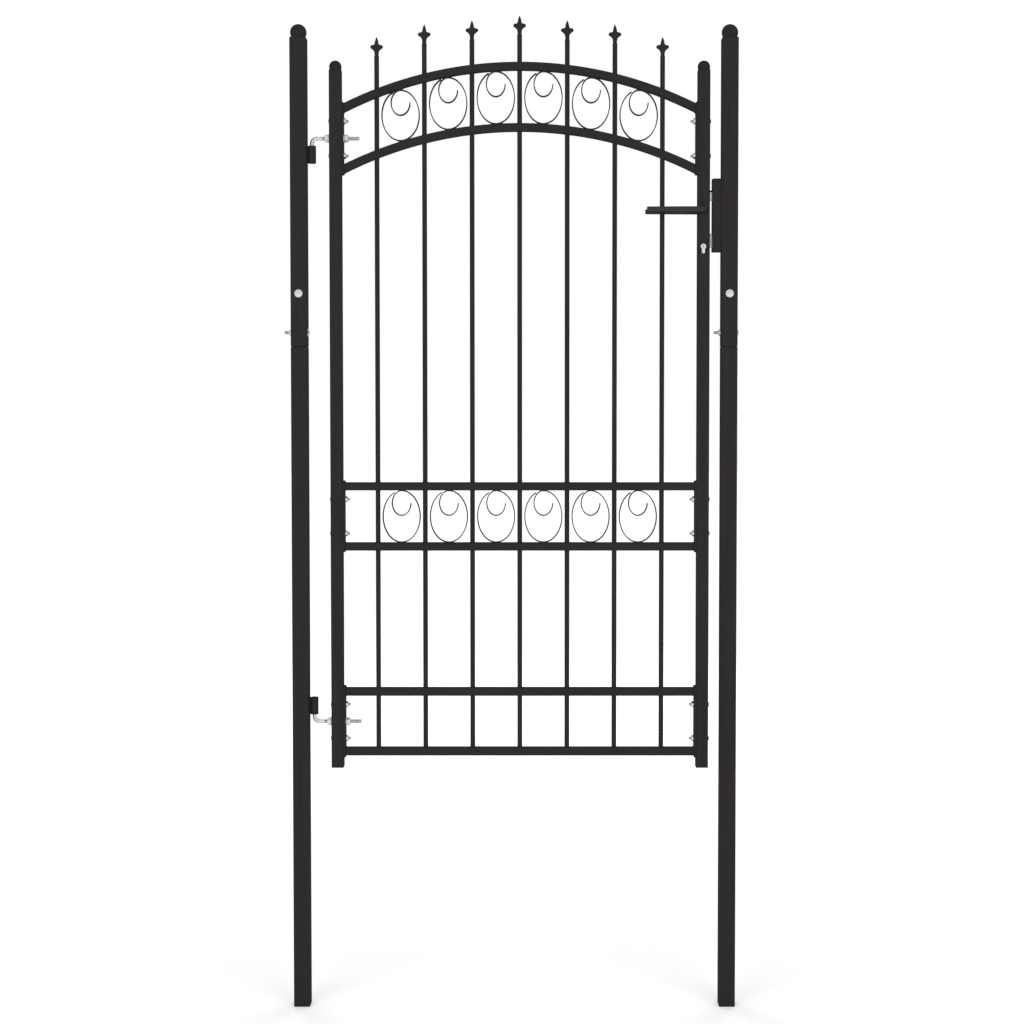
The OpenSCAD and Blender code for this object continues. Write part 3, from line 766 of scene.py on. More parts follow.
@dataclass(frozen=True)
class PowderCoat(Finish):
    """Baked powder: orange peel of about a millimetre, and faint streaks along the tubes."""

    streak: tuple[float, float, float] = (9 * MM, 9 * MM, 260 * MM)
    patch: tuple[float, float, float] = (24 * MM, 24 * MM, 40 * MM)
    peel: float = 1.3 * MM
    peel_height: float = 0.028 * MM
    grit: float = 0.35 * MM
    grit_share: float = 0.15

    def paint(self, nodes: Nodes) -> bpy.types.Material:
        """Streaks shade the colour, patches the gloss, and peel and grit the normal.

        Args:
            nodes: the material to finish.

        Returns:
            The finished material.
        """
        streak = nodes.noise(self.streak, 4.0)
        colour = nodes.blend(nodes.spread(streak, 0, 1), self.dark, self.light)
        nodes.join(colour, nodes.shader.inputs["Base Color"])
        rough = nodes.satin(nodes.spread(nodes.noise(self.patch), self.smooth, self.rough))
        nodes.join(rough, nodes.shader.inputs["Roughness"])
        grit = nodes.noise((self.grit,) * 3, 1.0)
        grit = nodes.bump(grit, self.grit_share * self.peel_height)
        peel = nodes.bump(nodes.noise((self.peel,) * 3, 1.5), self.peel_height, grit)
        nodes.join(peel, nodes.shader.inputs["Normal"])
        return nodes.material


@dataclass(frozen=True)
class MouldedPlastic(Finish):
    """Moulded plastic: a fine spark-eroded grain and slow flow marks in the gloss."""

    flow: tuple[float, float, float] = (14 * MM, 14 * MM, 9 * MM)
    grain: float = 0.45 * MM
    grain_height: float = 0.012 * MM

    def paint(self, nodes: Nodes) -> bpy.types.Material:
        """Flow marks shade colour and gloss, and the grain bends the normal.

        Args:
            nodes: the material to finish.

        Returns:
            The finished material.
        """
        flow = nodes.noise(self.flow, 2.0)
        colour = nodes.blend(nodes.spread(flow, 0, 1), self.dark, self.light)
        nodes.join(colour, nodes.shader.inputs["Base Color"])
        rough = nodes.satin(nodes.spread(flow, self.smooth, self.rough))
        nodes.join(rough, nodes.shader.inputs["Roughness"])
        grain = nodes.bump(nodes.noise((self.grain,) * 3, 2.0), self.grain_height)
        nodes.join(grain, nodes.shader.inputs["Normal"])
        return nodes.material


@dataclass(frozen=True)
class ZincPlate(Finish):
    """Bright zinc plate: cloudy passivation and fine crystals."""

    cloud: float = 5 * MM
    crystal: float = 0.7 * MM
    crystal_height: float = 0.01 * MM

    def paint(self, nodes: Nodes) -> bpy.types.Material:
        """Clouds shade the colour, crystals the gloss and the normal.

        Args:
            nodes: the material to finish.

        Returns:
            The finished material.
        """
        cloud = nodes.noise((self.cloud,) * 3, 4.0)
        colour = nodes.blend(nodes.spread(cloud, 0, 1), self.dark, self.light)
        nodes.join(colour, nodes.shader.inputs["Base Color"])
        crystal = nodes.noise((self.crystal,) * 3)
        rough = nodes.spread(crystal, self.smooth, self.rough)
        nodes.join(rough, nodes.shader.inputs["Roughness"])
        nodes.join(nodes.bump(crystal, self.crystal_height), nodes.shader.inputs["Normal"])
        return nodes.material


@dataclass(frozen=True)
class BrushedSteel(Finish):
    """Ground steel: fine scratches along the height, with darker smears."""

    smear: tuple[float, float, float] = (6 * MM, 6 * MM, 18 * MM)
    scratch: tuple[float, float, float] = (0.25 * MM, 0.25 * MM, 14 * MM)
    scratch_height: float = 0.008 * MM

    def paint(self, nodes: Nodes) -> bpy.types.Material:
        """Smears shade the colour, scratches the gloss and the normal.

        Args:
            nodes: the material to finish.

        Returns:
            The finished material.
        """
        smear = nodes.noise(self.smear)
        colour = nodes.blend(nodes.spread(smear, 0, 1), self.dark, self.light)
        nodes.join(colour, nodes.shader.inputs["Base Color"])
        scratch = nodes.noise(self.scratch)
        rough = nodes.spread(scratch, self.smooth, self.rough)
        nodes.join(rough, nodes.shader.inputs["Roughness"])
        nodes.join(nodes.bump(scratch, self.scratch_height), nodes.shader.inputs["Normal"])
        return nodes.material


# Streaks that run along X, for pieces that lie level.
ACROSS = (260 * MM, 9 * MM, 9 * MM)
FRAME_COAT = PowderCoat("black_powder_coat", Slot.FRAME, (0.0235, 0.0205, 0.0235),
                        (0.0285, 0.0250, 0.0285), 0.42, 0.52, specular=0.05)
RAIL_COAT = replace(FRAME_COAT, name="rail_powder_coat", streak=ACROSS)
HANDLE_COAT = PowderCoat("handle_powder_coat", Slot.HANDLE, (0.0355, 0.0315, 0.0355),
                         (0.0415, 0.0375, 0.0415), 0.38, 0.48, specular=0.08, streak=ACROSS,
                         peel=0.9 * MM)
# The sleeve is black like the frame's coat. Its much darker colour here is painted shade: it
# stands in for the shade in the gap where the two post tubes meet.
SLEEVE_PAINTED_SHADE = PowderCoat("sleeve_painted_shade", Slot.FRAME, (0.0035, 0.0032, 0.0036),
                           (0.0060, 0.0056, 0.0061), 0.55, 0.68, specular=0.05, peel=0.7 * MM)
CAP_PLASTIC = MouldedPlastic("cap_plastic", Slot.CAP, (0.0225, 0.0198, 0.0225),
                             (0.0265, 0.0235, 0.0265), 0.42, 0.52, specular=0.05)
ZINC = ZincPlate("bright_zinc", Slot.ZINC, (0.56, 0.55, 0.56), (0.72, 0.71, 0.72), 0.24, 0.38,
                 metallic=1.0, rim=(0.60, 0.60, 0.61))
NICKEL = ZincPlate("satin_nickel", Slot.ZINC, (0.60, 0.59, 0.58), (0.80, 0.79, 0.78), 0.22,
                   0.34, metallic=1.0)
STEEL = BrushedSteel("ground_steel", Slot.STEEL, (0.46, 0.465, 0.48), (0.58, 0.585, 0.60), 0.30,
                     0.45, metallic=1.0)


# ---- pieces ----


def make_piece(name: str, shell: Shell, body: Body, finish: Finish,
               stands_for: Sequence[str] = ()) -> bpy.types.Object:
    """Puts a skin into the scene as one piece.

    Args:
        name: the piece's name.
        shell: its skin, in place.
        body: the body that it moves with.
        finish: its finish.
        stands_for: the frame's nodes that it replaces.

    Returns:
        The piece.
    """
    mesh = bpy.data.meshes.new(name)
    quads, tris = len(shell.quads), len(shell.tris)
    corners = np.concatenate([shell.quads.ravel(), shell.tris.ravel()]).astype(np.int32)
    sizes = np.concatenate([np.full(quads, 4), np.full(tris, 3)])
    starts = np.concatenate([[0], np.cumsum(sizes)[:-1]]).astype(np.int32)
    mesh.vertices.add(len(shell.points))
    mesh.loops.add(len(corners))
    mesh.polygons.add(quads + tris)
    mesh.vertices.foreach_set("co", shell.points.astype(np.float32).ravel())
    mesh.loops.foreach_set("vertex_index", corners)
    mesh.polygons.foreach_set("loop_start", starts)
    mesh.update(calc_edges=True)
    mesh.validate()
    return finish_piece(name, mesh, body, finish, stands_for)


def finish_piece(name: str, mesh: bpy.types.Mesh, body: Body, finish: Finish,
                 stands_for: Sequence[str]) -> bpy.types.Object:
    """Shades a mesh, dresses it and tells the frame about it.

    Args:
        name: the piece's name.
        mesh: its mesh, in place.
        body: the body that it moves with.
        finish: its finish.
        stands_for: the frame's nodes that it replaces.

    Returns:
        The piece.
    """
    mesh.shade_smooth()
    mesh.set_sharp_from_angle(angle=SHARP_ANGLE)
    mesh.materials.clear()
    mesh.materials.append(finish.material())
    piece = bpy.data.objects.new(name, mesh)
    bpy.context.scene.collection.objects.link(piece)
    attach(piece, body.value)
    if stands_for:
        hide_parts(*stands_for)
    LOG.info("%s: %d faces on %s", name, len(mesh.polygons), body.value)
    return piece


def dress(finish: Finish, *nodes: str) -> None:
    """Gives a finish to nodes of the frame that keep their own shape.

    Args:
        finish: the finish.
        nodes: the nodes' names.
    """
    for node in nodes:
        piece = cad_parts[node]
        if not piece.material_slots:
            piece.data.materials.append(finish.material())
        for place in piece.material_slots:
            place.material = finish.material()
        LOG.info("%s: dressed in %s", node, finish.name)


def eased_copy(name: str, node: str, body: Body, finish: Finish,
               edge: float) -> bpy.types.Object:
    """A copy of a node with its edges eased, for a shape with openings.

    The copy's loose triangles are merged, its flat faces become whole again, and a bevel
    rounds every edge sharper than a set angle.

    Args:
        name: the piece's name.
        node: the node that it replaces.
        body: the body that it moves with.
        finish: its finish.
        edge: the width of the bevel.

    Returns:
        The piece.
    """
    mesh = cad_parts[node].data.copy()
    work = bmesh.new()
    work.from_mesh(mesh)
    bmesh.ops.remove_doubles(work, verts=work.verts, dist=MERGE_REACH)
    bmesh.ops.dissolve_limit(work, angle_limit=FLAT_ANGLE, verts=work.verts, edges=work.edges)
    bmesh.ops.recalc_face_normals(work, faces=work.faces)
    work.to_mesh(mesh)
    work.free()
    piece = finish_piece(name, mesh, body, finish, (node,))
    bevel = piece.modifiers.new("eased_edges", "BEVEL")
    bevel.width = edge
    bevel.segments = 3
    bevel.limit_method = "ANGLE"
    bevel.angle_limit = BEVEL_ANGLE
    bevel.harden_normals = True
    return piece


@dataclass(frozen=True)
class Box:
    """A node's box in the frame."""

    low: Array
    high: Array

    @classmethod
    def of(cls, node: str) -> "Box":
        """Reads the box of a node."""
        low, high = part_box(node)
        return cls(np.array(low, dtype=float), np.array(high, dtype=float))

    @property
    def middle(self) -> Array:
        """The box's middle."""
        return (self.low + self.high) / 2

    @property
    def size(self) -> Array:
        """The box's three sides."""
        return self.high - self.low


@dataclass(frozen=True)
class Layout:
    """Where the gate's main parts stand, read from the frame."""

    post_x: Array
    post_w: float
    lower_top: float
    post_top: float
    leaf_left: float
    leaf_right: float
    stile_w: float
    stile_top: float
    pair_z: Array
    spacing: float
    rail_w: float
    rail_ends: Array
    plate_t: float
    picket_x: Array
    picket_top: Array
    picket_r: float
    arch_r: float
    arch_z: float

    @classmethod
    def read(cls) -> "Layout":
        """Measures the frame.

        The arch's radius follows from its box: with half a tube h, half a length L and the
        box's height H, the outer crown and the inner ends lie on circles of radius R + h and
        R - h, and the two heights differ by H.

        Returns:
            The layout.
        """
        posts = [Box.of("hinge_post_lower"), Box.of("latch_post_lower")]
        left, right = Box.of("hinge_stile"), Box.of("latch_stile")
        arch = Box.of("top_arch_rail")
        plates = [Box.of(name + "_end_plates") for name in ("bottom", "middle", "arch")]
        pickets = [Box.of("picket_%d" % number) for number in range(1, 8)]
        half = arch.size[1] / 2
        length, height = arch.size[0] / 2, arch.size[2]
        radius = (half**2 - length**2 - (half - height) ** 2) / (4 * half - 2 * height)
        spacing = Box.of("middle_upper_rail").middle[2] - Box.of("middle_lower_rail").middle[2]
        return cls(
            post_x=np.array([post.middle[0] for post in posts]),
            post_w=posts[0].size[0],
            lower_top=posts[0].high[2],
            post_top=Box.of("hinge_post_upper").high[2],
            leaf_left=left.low[0],
            leaf_right=right.high[0],
            stile_w=left.size[0],
            stile_top=left.high[2],
            pair_z=np.array([plate.middle[2] for plate in plates]),
            spacing=float(spacing),
            rail_w=arch.size[1],
            rail_ends=np.array([arch.low[0], arch.high[0]]),
            plate_t=float(arch.low[0] - left.high[0]),
            picket_x=np.array([picket.middle[0] for picket in pickets]),
            picket_top=np.array([picket.high[2] for picket in pickets]),
            picket_r=pickets[0].size[0] / 2,
            arch_r=float(radius),
            arch_z=float(arch.high[2] - radius - half),
        )

    @property
    def middle_x(self) -> float:
        """The leaf's middle."""
        return float(self.rail_ends.mean())

    def arch_height(self, offset: float, x: Array) -> Array:
        """The height of the arch's circle, widened by an offset, at each x."""
        return self.arch_z + np.sqrt((self.arch_r + offset) ** 2 - (x - self.middle_x) ** 2)


# ---- posts ----


@dataclass
class BallCaps:
    """Moulded caps: a square lip, a round collar and a ball."""

    name: str
    node: str
    body: Body
    centres: Array
    top: float
    width: float
    corner_power: float = 22.0
    lip: float = 3 * MM
    collar: float = 3.5 * MM
    step: float = 0.5 * MM
    ball_extra: float = 0.3 * MM
    sink: float = 3.5 * MM
    soft: float = 0.8 * MM
    seam: float = 0.12 * MM
    seam_degrees: float = 0.7
    columns: int = 112

    def cap(self) -> Shell:
        """Builds one cap on z = 0.

        Each row has a height, a half width and a power: the lip's rows are rounded squares, the
        collar's and the ball's are circles.  The ball's rows follow a sphere's latitudes, with
        a hair-thin moulding seam raised at its widest.

        Returns:
            The skin.
        """
        half = self.width / 2
        ball_r = half + self.ball_extra
        ball_z = ball_r - self.sink
        top = self.lip + self.collar
        meet = math.asin((top - ball_z) / ball_r)
        neck = ball_r * math.cos(meet)
        collar_r = neck + self.step
        s, ease, brow_r = self.soft, 0.3 * self.soft, 0.4 * self.step
        lip_edge = arc((half - s, self.lip - s), s, 0, 90, 5)
        fillet = arc((collar_r + s, self.lip + s), s, 270, 180, 5)
        brow = arc((collar_r - brow_r, top - brow_r), brow_r, 0, 90, 4)
        by_seam = np.radians([-1.2, -0.6, 0, 0.6, 1.2])
        latitude = np.linspace(meet, math.radians(89.5), 26)
        latitude = np.unique(np.concatenate([latitude, by_seam]))
        swell = self.seam * np.exp(-(np.degrees(latitude) / self.seam_degrees) ** 2)
        ball = np.stack([(ball_r + swell) * np.cos(latitude),
                         ball_z + (ball_r + swell) * np.sin(latitude)], axis=-1)
        under = np.array([[0.6 * half, 0], [half - ease, 0], [half, ease]])
        square = np.concatenate([under, lip_edge])
        rows = np.concatenate([square, fillet, brow, ball])
        power = np.where(np.arange(len(rows)) < len(square), self.corner_power, 2.0)
        flat = superellipse(rows[:, 0], rows[:, 0], power, self.columns)
        rise = np.broadcast_to(rows[:, 1][:, None, None], flat.shape[:2] + (1,))
        return surface(np.concatenate([flat, rise], axis=-1))

    def build(self) -> None:
        """Places a cap on every tube."""
        caps = [self.cap().placed((x, 0, self.top)) for x in self.centres]
        make_piece(self.name, Shell.join(caps), self.body, CAP_PLASTIC, (self.node,))


@dataclass
class Posts:
    """The two jointed posts with their bolts."""

    layout: Layout
    side_rise: float = 36 * MM
    front_rise: float = 132 * MM
    head_d: float = 20 * MM
    head_h: float = 5 * MM
    tail: float = 11 * MM

    def bolts(self) -> Shell:
        """The four domed bolts: one through the front and one through the side of each post.

        Returns:
            The skin of all four.
        """
        layout = self.layout
        bolt = DomedBolt(M8, self.head_d, self.head_h, layout.post_w, M8_NUT, self.tail).shell()
        half = layout.post_w / 2
        front_z = layout.lower_top + self.front_rise
        side_z = layout.lower_top + self.side_rise
        front = [bolt.placed((x, -half, front_z), Facing.FRONT) for x in layout.post_x]
        side = [bolt.placed((x + half, 0, side_z), Facing.RIGHT) for x in layout.post_x]
        return Shell.join(front + side)

    def build(self) -> None:
        """Dresses the tubes and builds caps and bolts."""
        dress(FRAME_COAT, "hinge_post_lower", "hinge_post_upper", "latch_post_lower",
              "latch_post_upper")
        # The sleeves' near-black is painted shade for the joint gap between the tubes.
        dress(SLEEVE_PAINTED_SHADE, "post_sleeves")
        make_piece("post_domed_bolts", self.bolts(), Body.POSTS, ZINC, ("post_bolts",))
        layout = self.layout
        BallCaps("post_ball_caps", "post_caps", Body.POSTS, layout.post_x, layout.post_top,
                 layout.post_w).build()


@dataclass
class Hinges:
    """Two barrels on the post and two bent rods on the leaf."""

    layout: Layout
    bend_r: float = 13 * MM
    foot_t: float = 10 * MM
    foot_sink: float = 2.5 * MM
    bore: float = 10.16 * MM
    edge: float = 1 * MM
    weld_r: float = 1.8 * MM
    ripple: float = 3.2 * MM
    thread: Thread = Thread(10 * MM, 1.5 * MM)
    plain: float = 12 * MM
    end_share: float = 0.82
    nut: Nut = Nut(17 * MM, 9 * MM, 9 * MM)
    washer_d: float = 24 * MM
    washer_t: float = 2.5 * MM
    washer_fit: float = 0.4 * MM
    washer_edge: float = 0.75 * MM

    def barrel(self, box: Box) -> Shell:
        """A barrel on its foot, with weld beads along the post.

        Args:
            box: the box of the frame's barrel, foot included.

        Returns:
            The skin.
        """
        radius, length, edge = box.size[1] / 2, box.size[2], self.edge
        wall = radius - self.bore / 2
        outline, _ = rounded_outline(rectangle(wall, length), edge)
        centre = (box.high[0] - radius, 0, box.middle[2])
        tube = lathe(outline + np.array([radius - wall / 2, 0]), TURNED_COLUMNS, ring=True)
        reach = centre[0] - radius + self.foot_sink - box.low[0]
        foot = slab(rectangle(reach, self.foot_t), length - 2 * edge, edge, edge)
        foot = foot.placed((box.low[0] + reach / 2, 0, box.low[2] + edge))
        up = np.linspace(box.low[2] + edge, box.high[2] - edge, 60)
        beads = []
        for side in (-1, 1):
            y = side * self.foot_t / 2
            line = np.stack([np.full_like(up, box.low[0]), np.full_like(up, y), up], axis=-1)
            beads.append(bead(line, (0, 1, 0), self.weld_r, self.ripple, False))
        return Shell.join([tube.placed(centre), foot] + beads)

    def rod(self, box: Box) -> Shell:
        """A bent rod, its short leg down.

        A circle is carried up the short leg, round a quarter turn and along the long leg.  Its
        radius is the rod's less the thread's groove, which starts a little past the bend, and
        both ends are chamfered.

        Args:
            box: the box of the frame's rod.

        Returns:
            The skin, as the upper rod.
        """
        radius = self.thread.diameter / 2
        corner_x, corner_z = box.low[0] + radius, box.high[2] - radius
        turn = np.radians(np.linspace(180, 90, 24))
        bend_x = corner_x + self.bend_r + self.bend_r * np.cos(turn)
        bend_z = corner_z - self.bend_r + self.bend_r * np.sin(turn)
        bend_end, leg_top = corner_x + self.bend_r, corner_z - self.bend_r - box.low[2]
        start, end = bend_end + self.plain, box.high[0]
        long_x = np.concatenate([[bend_end + 1 * MM], self.thread.rows(start, end)])
        leg_z = np.concatenate([[0, 0.6 * MM], np.linspace(1 * MM, leg_top, 6)[:-1]])
        path_x = np.concatenate([np.full(len(leg_z), corner_x), bend_x, long_x])
        path_z = np.concatenate([box.low[2] + leg_z, bend_z, np.full(len(long_x), corner_z)])
        path = np.stack([path_x, np.zeros_like(path_x), path_z], axis=-1)
        run_in = np.clip((path_x - start) / MM, 0, 1)
        deep = self.thread.groove(path_x, ROD_COLUMNS) * run_in[:, None]
        to_end = np.maximum(np.minimum(end - path_x, path_z - box.low[2]), 0)
        limit = np.minimum(radius, self.end_share * radius + to_end)
        size = np.minimum(radius - deep, limit[:, None])
        return sweep(size[..., None] * circle(ROD_COLUMNS)[None], path, (0, 1, 0))

    def nuts(self) -> Shell:
        """Washer and nut on each side of the leaf, on both rods.

        Returns:
            The skin of all of them.
        """
        layout = self.layout
        inner = layout.leaf_left + layout.stile_w + layout.plate_t
        hole = self.thread.diameter - self.washer_fit
        ring = washer(self.washer_d, hole, self.washer_t, self.washer_edge)
        pair = Shell.join([ring, self.nut.shell().placed((0, 0, self.washer_t))])
        placed = []
        for z in (layout.pair_z[0], layout.pair_z[2]):
            placed.append(pair.placed((inner, 0, z), Facing.RIGHT))
            placed.append(pair.placed((layout.leaf_left, 0, z), Facing.LEFT))
        return Shell.join(placed)

    def build(self) -> None:
        """Builds barrels, rods and nuts."""
        for level in ("upper", "lower"):
            node, name = level + "_hinge_barrel", level + "_hinge_tube"
            make_piece(name, self.barrel(Box.of(node)), Body.POSTS, FRAME_COAT, (node,))
        upper = self.rod(Box.of("upper_hinge_rod"))
        make_piece("upper_hinge_bolt", upper, Body.LEAF, ZINC, ("upper_hinge_rod",))
        box = Box.of("lower_hinge_rod")
        upturned = Box(np.array([box.low[0], box.low[1], -box.high[2]]),
                       np.array([box.high[0], box.high[1], -box.low[2]]))
        lower = self.rod(upturned).flipped(2)
        make_piece("lower_hinge_bolt", lower, Body.LEAF, ZINC, ("lower_hinge_rod",))
        make_piece("hinge_nuts", self.nuts(), Body.LEAF, ZINC, ("hinge_rod_nuts",))


@dataclass
class Keep:
    """The folded strike box on the latch post, with the welds that hold it."""

    edge: float = 0.7 * MM
    weld_r: float = 1.6 * MM
    ripple: float = 3.4 * MM
    side_gap: float = 8 * MM
    end_gap: float = 3 * MM

    def build(self) -> None:
        """Eases the box's edges and lays a bead where it meets the post on all four sides."""
        eased_copy("strike_box", "latch_keep", Body.POSTS, FRAME_COAT, self.edge)
        box = Box.of("latch_keep")
        up = np.linspace(box.low[2] + self.side_gap, box.high[2] - self.side_gap, 240)
        across = np.linspace(box.low[1] + self.end_gap, box.high[1] - self.end_gap, 60)
        beads = []
        for y in (-box.size[1] / 2, box.size[1] / 2):
            line = np.stack([np.full_like(up, box.high[0]), np.full_like(up, y), up], axis=-1)
            beads.append(bead(line, (0, 1, 0), self.weld_r, self.ripple, False))
        for z in (box.low[2], box.high[2]):
            x = np.full_like(across, box.high[0])
            line = np.stack([x, across, np.full_like(across, z)], axis=-1)
            beads.append(bead(line, (0, 0, 1), self.weld_r, self.ripple, False))
        make_piece("strike_box_welds", Shell.join(beads), Body.POSTS, FRAME_COAT)


# ---- leaf ----


@dataclass
class LeafFrame:
    """Stiles, rails, pickets, end plates, their bolts and their welds."""

    layout: Layout
    plate_edge: float = 0.8 * MM
    bolt_rise: float = 42.5 * MM
    head_d: float = 15 * MM
    head_h: float = 3.6 * MM
    tail: float = 6 * MM
    rail_corner: float = 2 * MM
    rail_ripples: int = 24
    rail_weld_r: float = 1.7 * MM
    picket_weld_r: float = 1.1 * MM
    weld_gap: float = 0.3 * MM

    def plates(self, name: str) -> None:
        """Builds a pair of end plates from their node's box.

        Args:
            name: the pair's name, as in its node.
        """
        box = Box.of(name + "_end_plates")
        thick, wide, tall = self.layout.plate_t, box.size[1], box.size[2]
        plate = slab(rectangle(thick, wide), tall, self.plate_edge, self.plate_edge)
        pair = Shell.join([plate.placed((x, 0, box.low[2]))
                           for x in (box.low[0] + thick / 2, box.high[0] - thick / 2)])
        make_piece(name + "_rail_plates", pair, Body.LEAF, FRAME_COAT, (name + "_end_plates",))

    def bolts(self) -> Shell:
        """The twelve bolts, heads outwards, that pass through a stile and its end plate.

        Returns:
            The skin of all twelve.
        """
        layout = self.layout
        grip = layout.stile_w + layout.plate_t
        bolt = DomedBolt(M8, self.head_d, self.head_h, grip, M8_NUT, self.tail).shell()
        placed = []
        for z in layout.pair_z:
            for rise in (-self.bolt_rise, self.bolt_rise):
                placed.append(bolt.placed((layout.leaf_left, 0, z + rise), Facing.LEFT))
                placed.append(bolt.placed((layout.leaf_right, 0, z + rise), Facing.RIGHT))
        return Shell.join(placed)

    def rail_levels(self) -> list[tuple[Array, Array]]:
        """The under and upper surface of each rail over the pickets and its two ends.

        Returns:
            For each rail, its lower and upper heights at both ends and at the seven pickets.
        """
        layout = self.layout
        x = np.concatenate([layout.rail_ends, layout.picket_x])
        half = layout.rail_w / 2
        levels = []
        for drop in (0, layout.spacing):
            under, over = (layout.arch_height(side * half, x) - drop for side in (-1, 1))
            levels.append((under, over))
        for name in ("middle_upper", "middle_lower", "bottom_upper", "bottom_lower"):
            box = Box.of(name + "_rail")
            levels.append((np.full(len(x), box.low[2]), np.full(len(x), box.high[2])))
        return levels

    def rail_welds(self) -> Shell:
        """A bead round each rail's end: a rounded rectangle of the cut tube's own height.

        Returns:
            The beads.
        """
        layout = self.layout
        beads = []
        for low, high in self.rail_levels():
            for end, inward in ((0, 1), (1, -1)):
                cut = rectangle(layout.rail_w, high[end] - low[end])
                outline, _ = rounded_outline(cut, self.rail_corner, 6)
                loop = np.concatenate([outline, outline[:1]])
                gone = distances(loop)
                even = np.linspace(0, gone[-1], 200, endpoint=False)
                y, z = (np.interp(even, gone, loop[:, k]) for k in range(2))
                x = np.full_like(even, layout.rail_ends[end] + inward * self.weld_gap)
                path = np.stack([x, y, z + (low[end] + high[end]) / 2], axis=-1)
                ripple = gone[-1] / self.rail_ripples
                beads.append(bead(path, (1, 0, 0), self.rail_weld_r, ripple, True))
        return Shell.join(beads)

    def picket_welds(self) -> Shell:
        """A thin bead round each picket where it enters a rail, following the rail's slope.

        The lowest rail has none on its under face.

        Returns:
            The beads.
        """
        layout = self.layout
        t, half = angles(RING_POINTS), layout.rail_w / 2
        reach = layout.picket_r + self.weld_gap
        ripple = FULL_TURN * reach / RING_RIPPLES
        beads = []
        for number, x0 in enumerate(layout.picket_x):
            x, y = x0 + reach * np.cos(t), reach * np.sin(t)
            heights = [layout.arch_height(side * half, x) - drop
                       for side in (-1, 1) for drop in (0, layout.spacing)]
            for low, high in self.rail_levels()[2:]:
                heights += [np.full(len(t), low[2 + number]), np.full(len(t), high[2 + number])]
            lowest = min(float(level[0]) for level in heights)
            for z in heights:
                if z[0] > lowest + 0.001 * MM:
                    path = np.stack([x, y, z], axis=-1)
                    beads.append(bead(path, (0, 0, 1), self.picket_weld_r, ripple, True))
        return Shell.join(beads)

    def build(self) -> None:
        """Dresses the tubes and builds the rest."""
        rails = ("top_arch_rail", "lower_arch_rail", "middle_upper_rail", "middle_lower_rail",
                 "bottom_upper_rail", "bottom_lower_rail")
        dress(FRAME_COAT, "hinge_stile", "latch_stile")
        dress(RAIL_COAT, *rails)
        dress(FRAME_COAT, *("picket_%d" % number for number in range(1, 8)))
        for name in ("arch", "middle", "bottom"):
            self.plates(name)
        make_piece("plate_domed_bolts", self.bolts(), Body.LEAF, ZINC, ("plate_bolts",))
        make_piece("rail_welds", self.rail_welds(), Body.LEAF, FRAME_COAT)
        make_piece("picket_welds", self.picket_welds(), Body.LEAF, FRAME_COAT)
        layout = self.layout
        half = layout.stile_w / 2
        centres = np.array([layout.leaf_left + half, layout.leaf_right - half])
        BallCaps("stile_ball_caps", "stile_caps", Body.LEAF, centres, layout.stile_top,
                 layout.stile_w, corner_power=18.0).build()


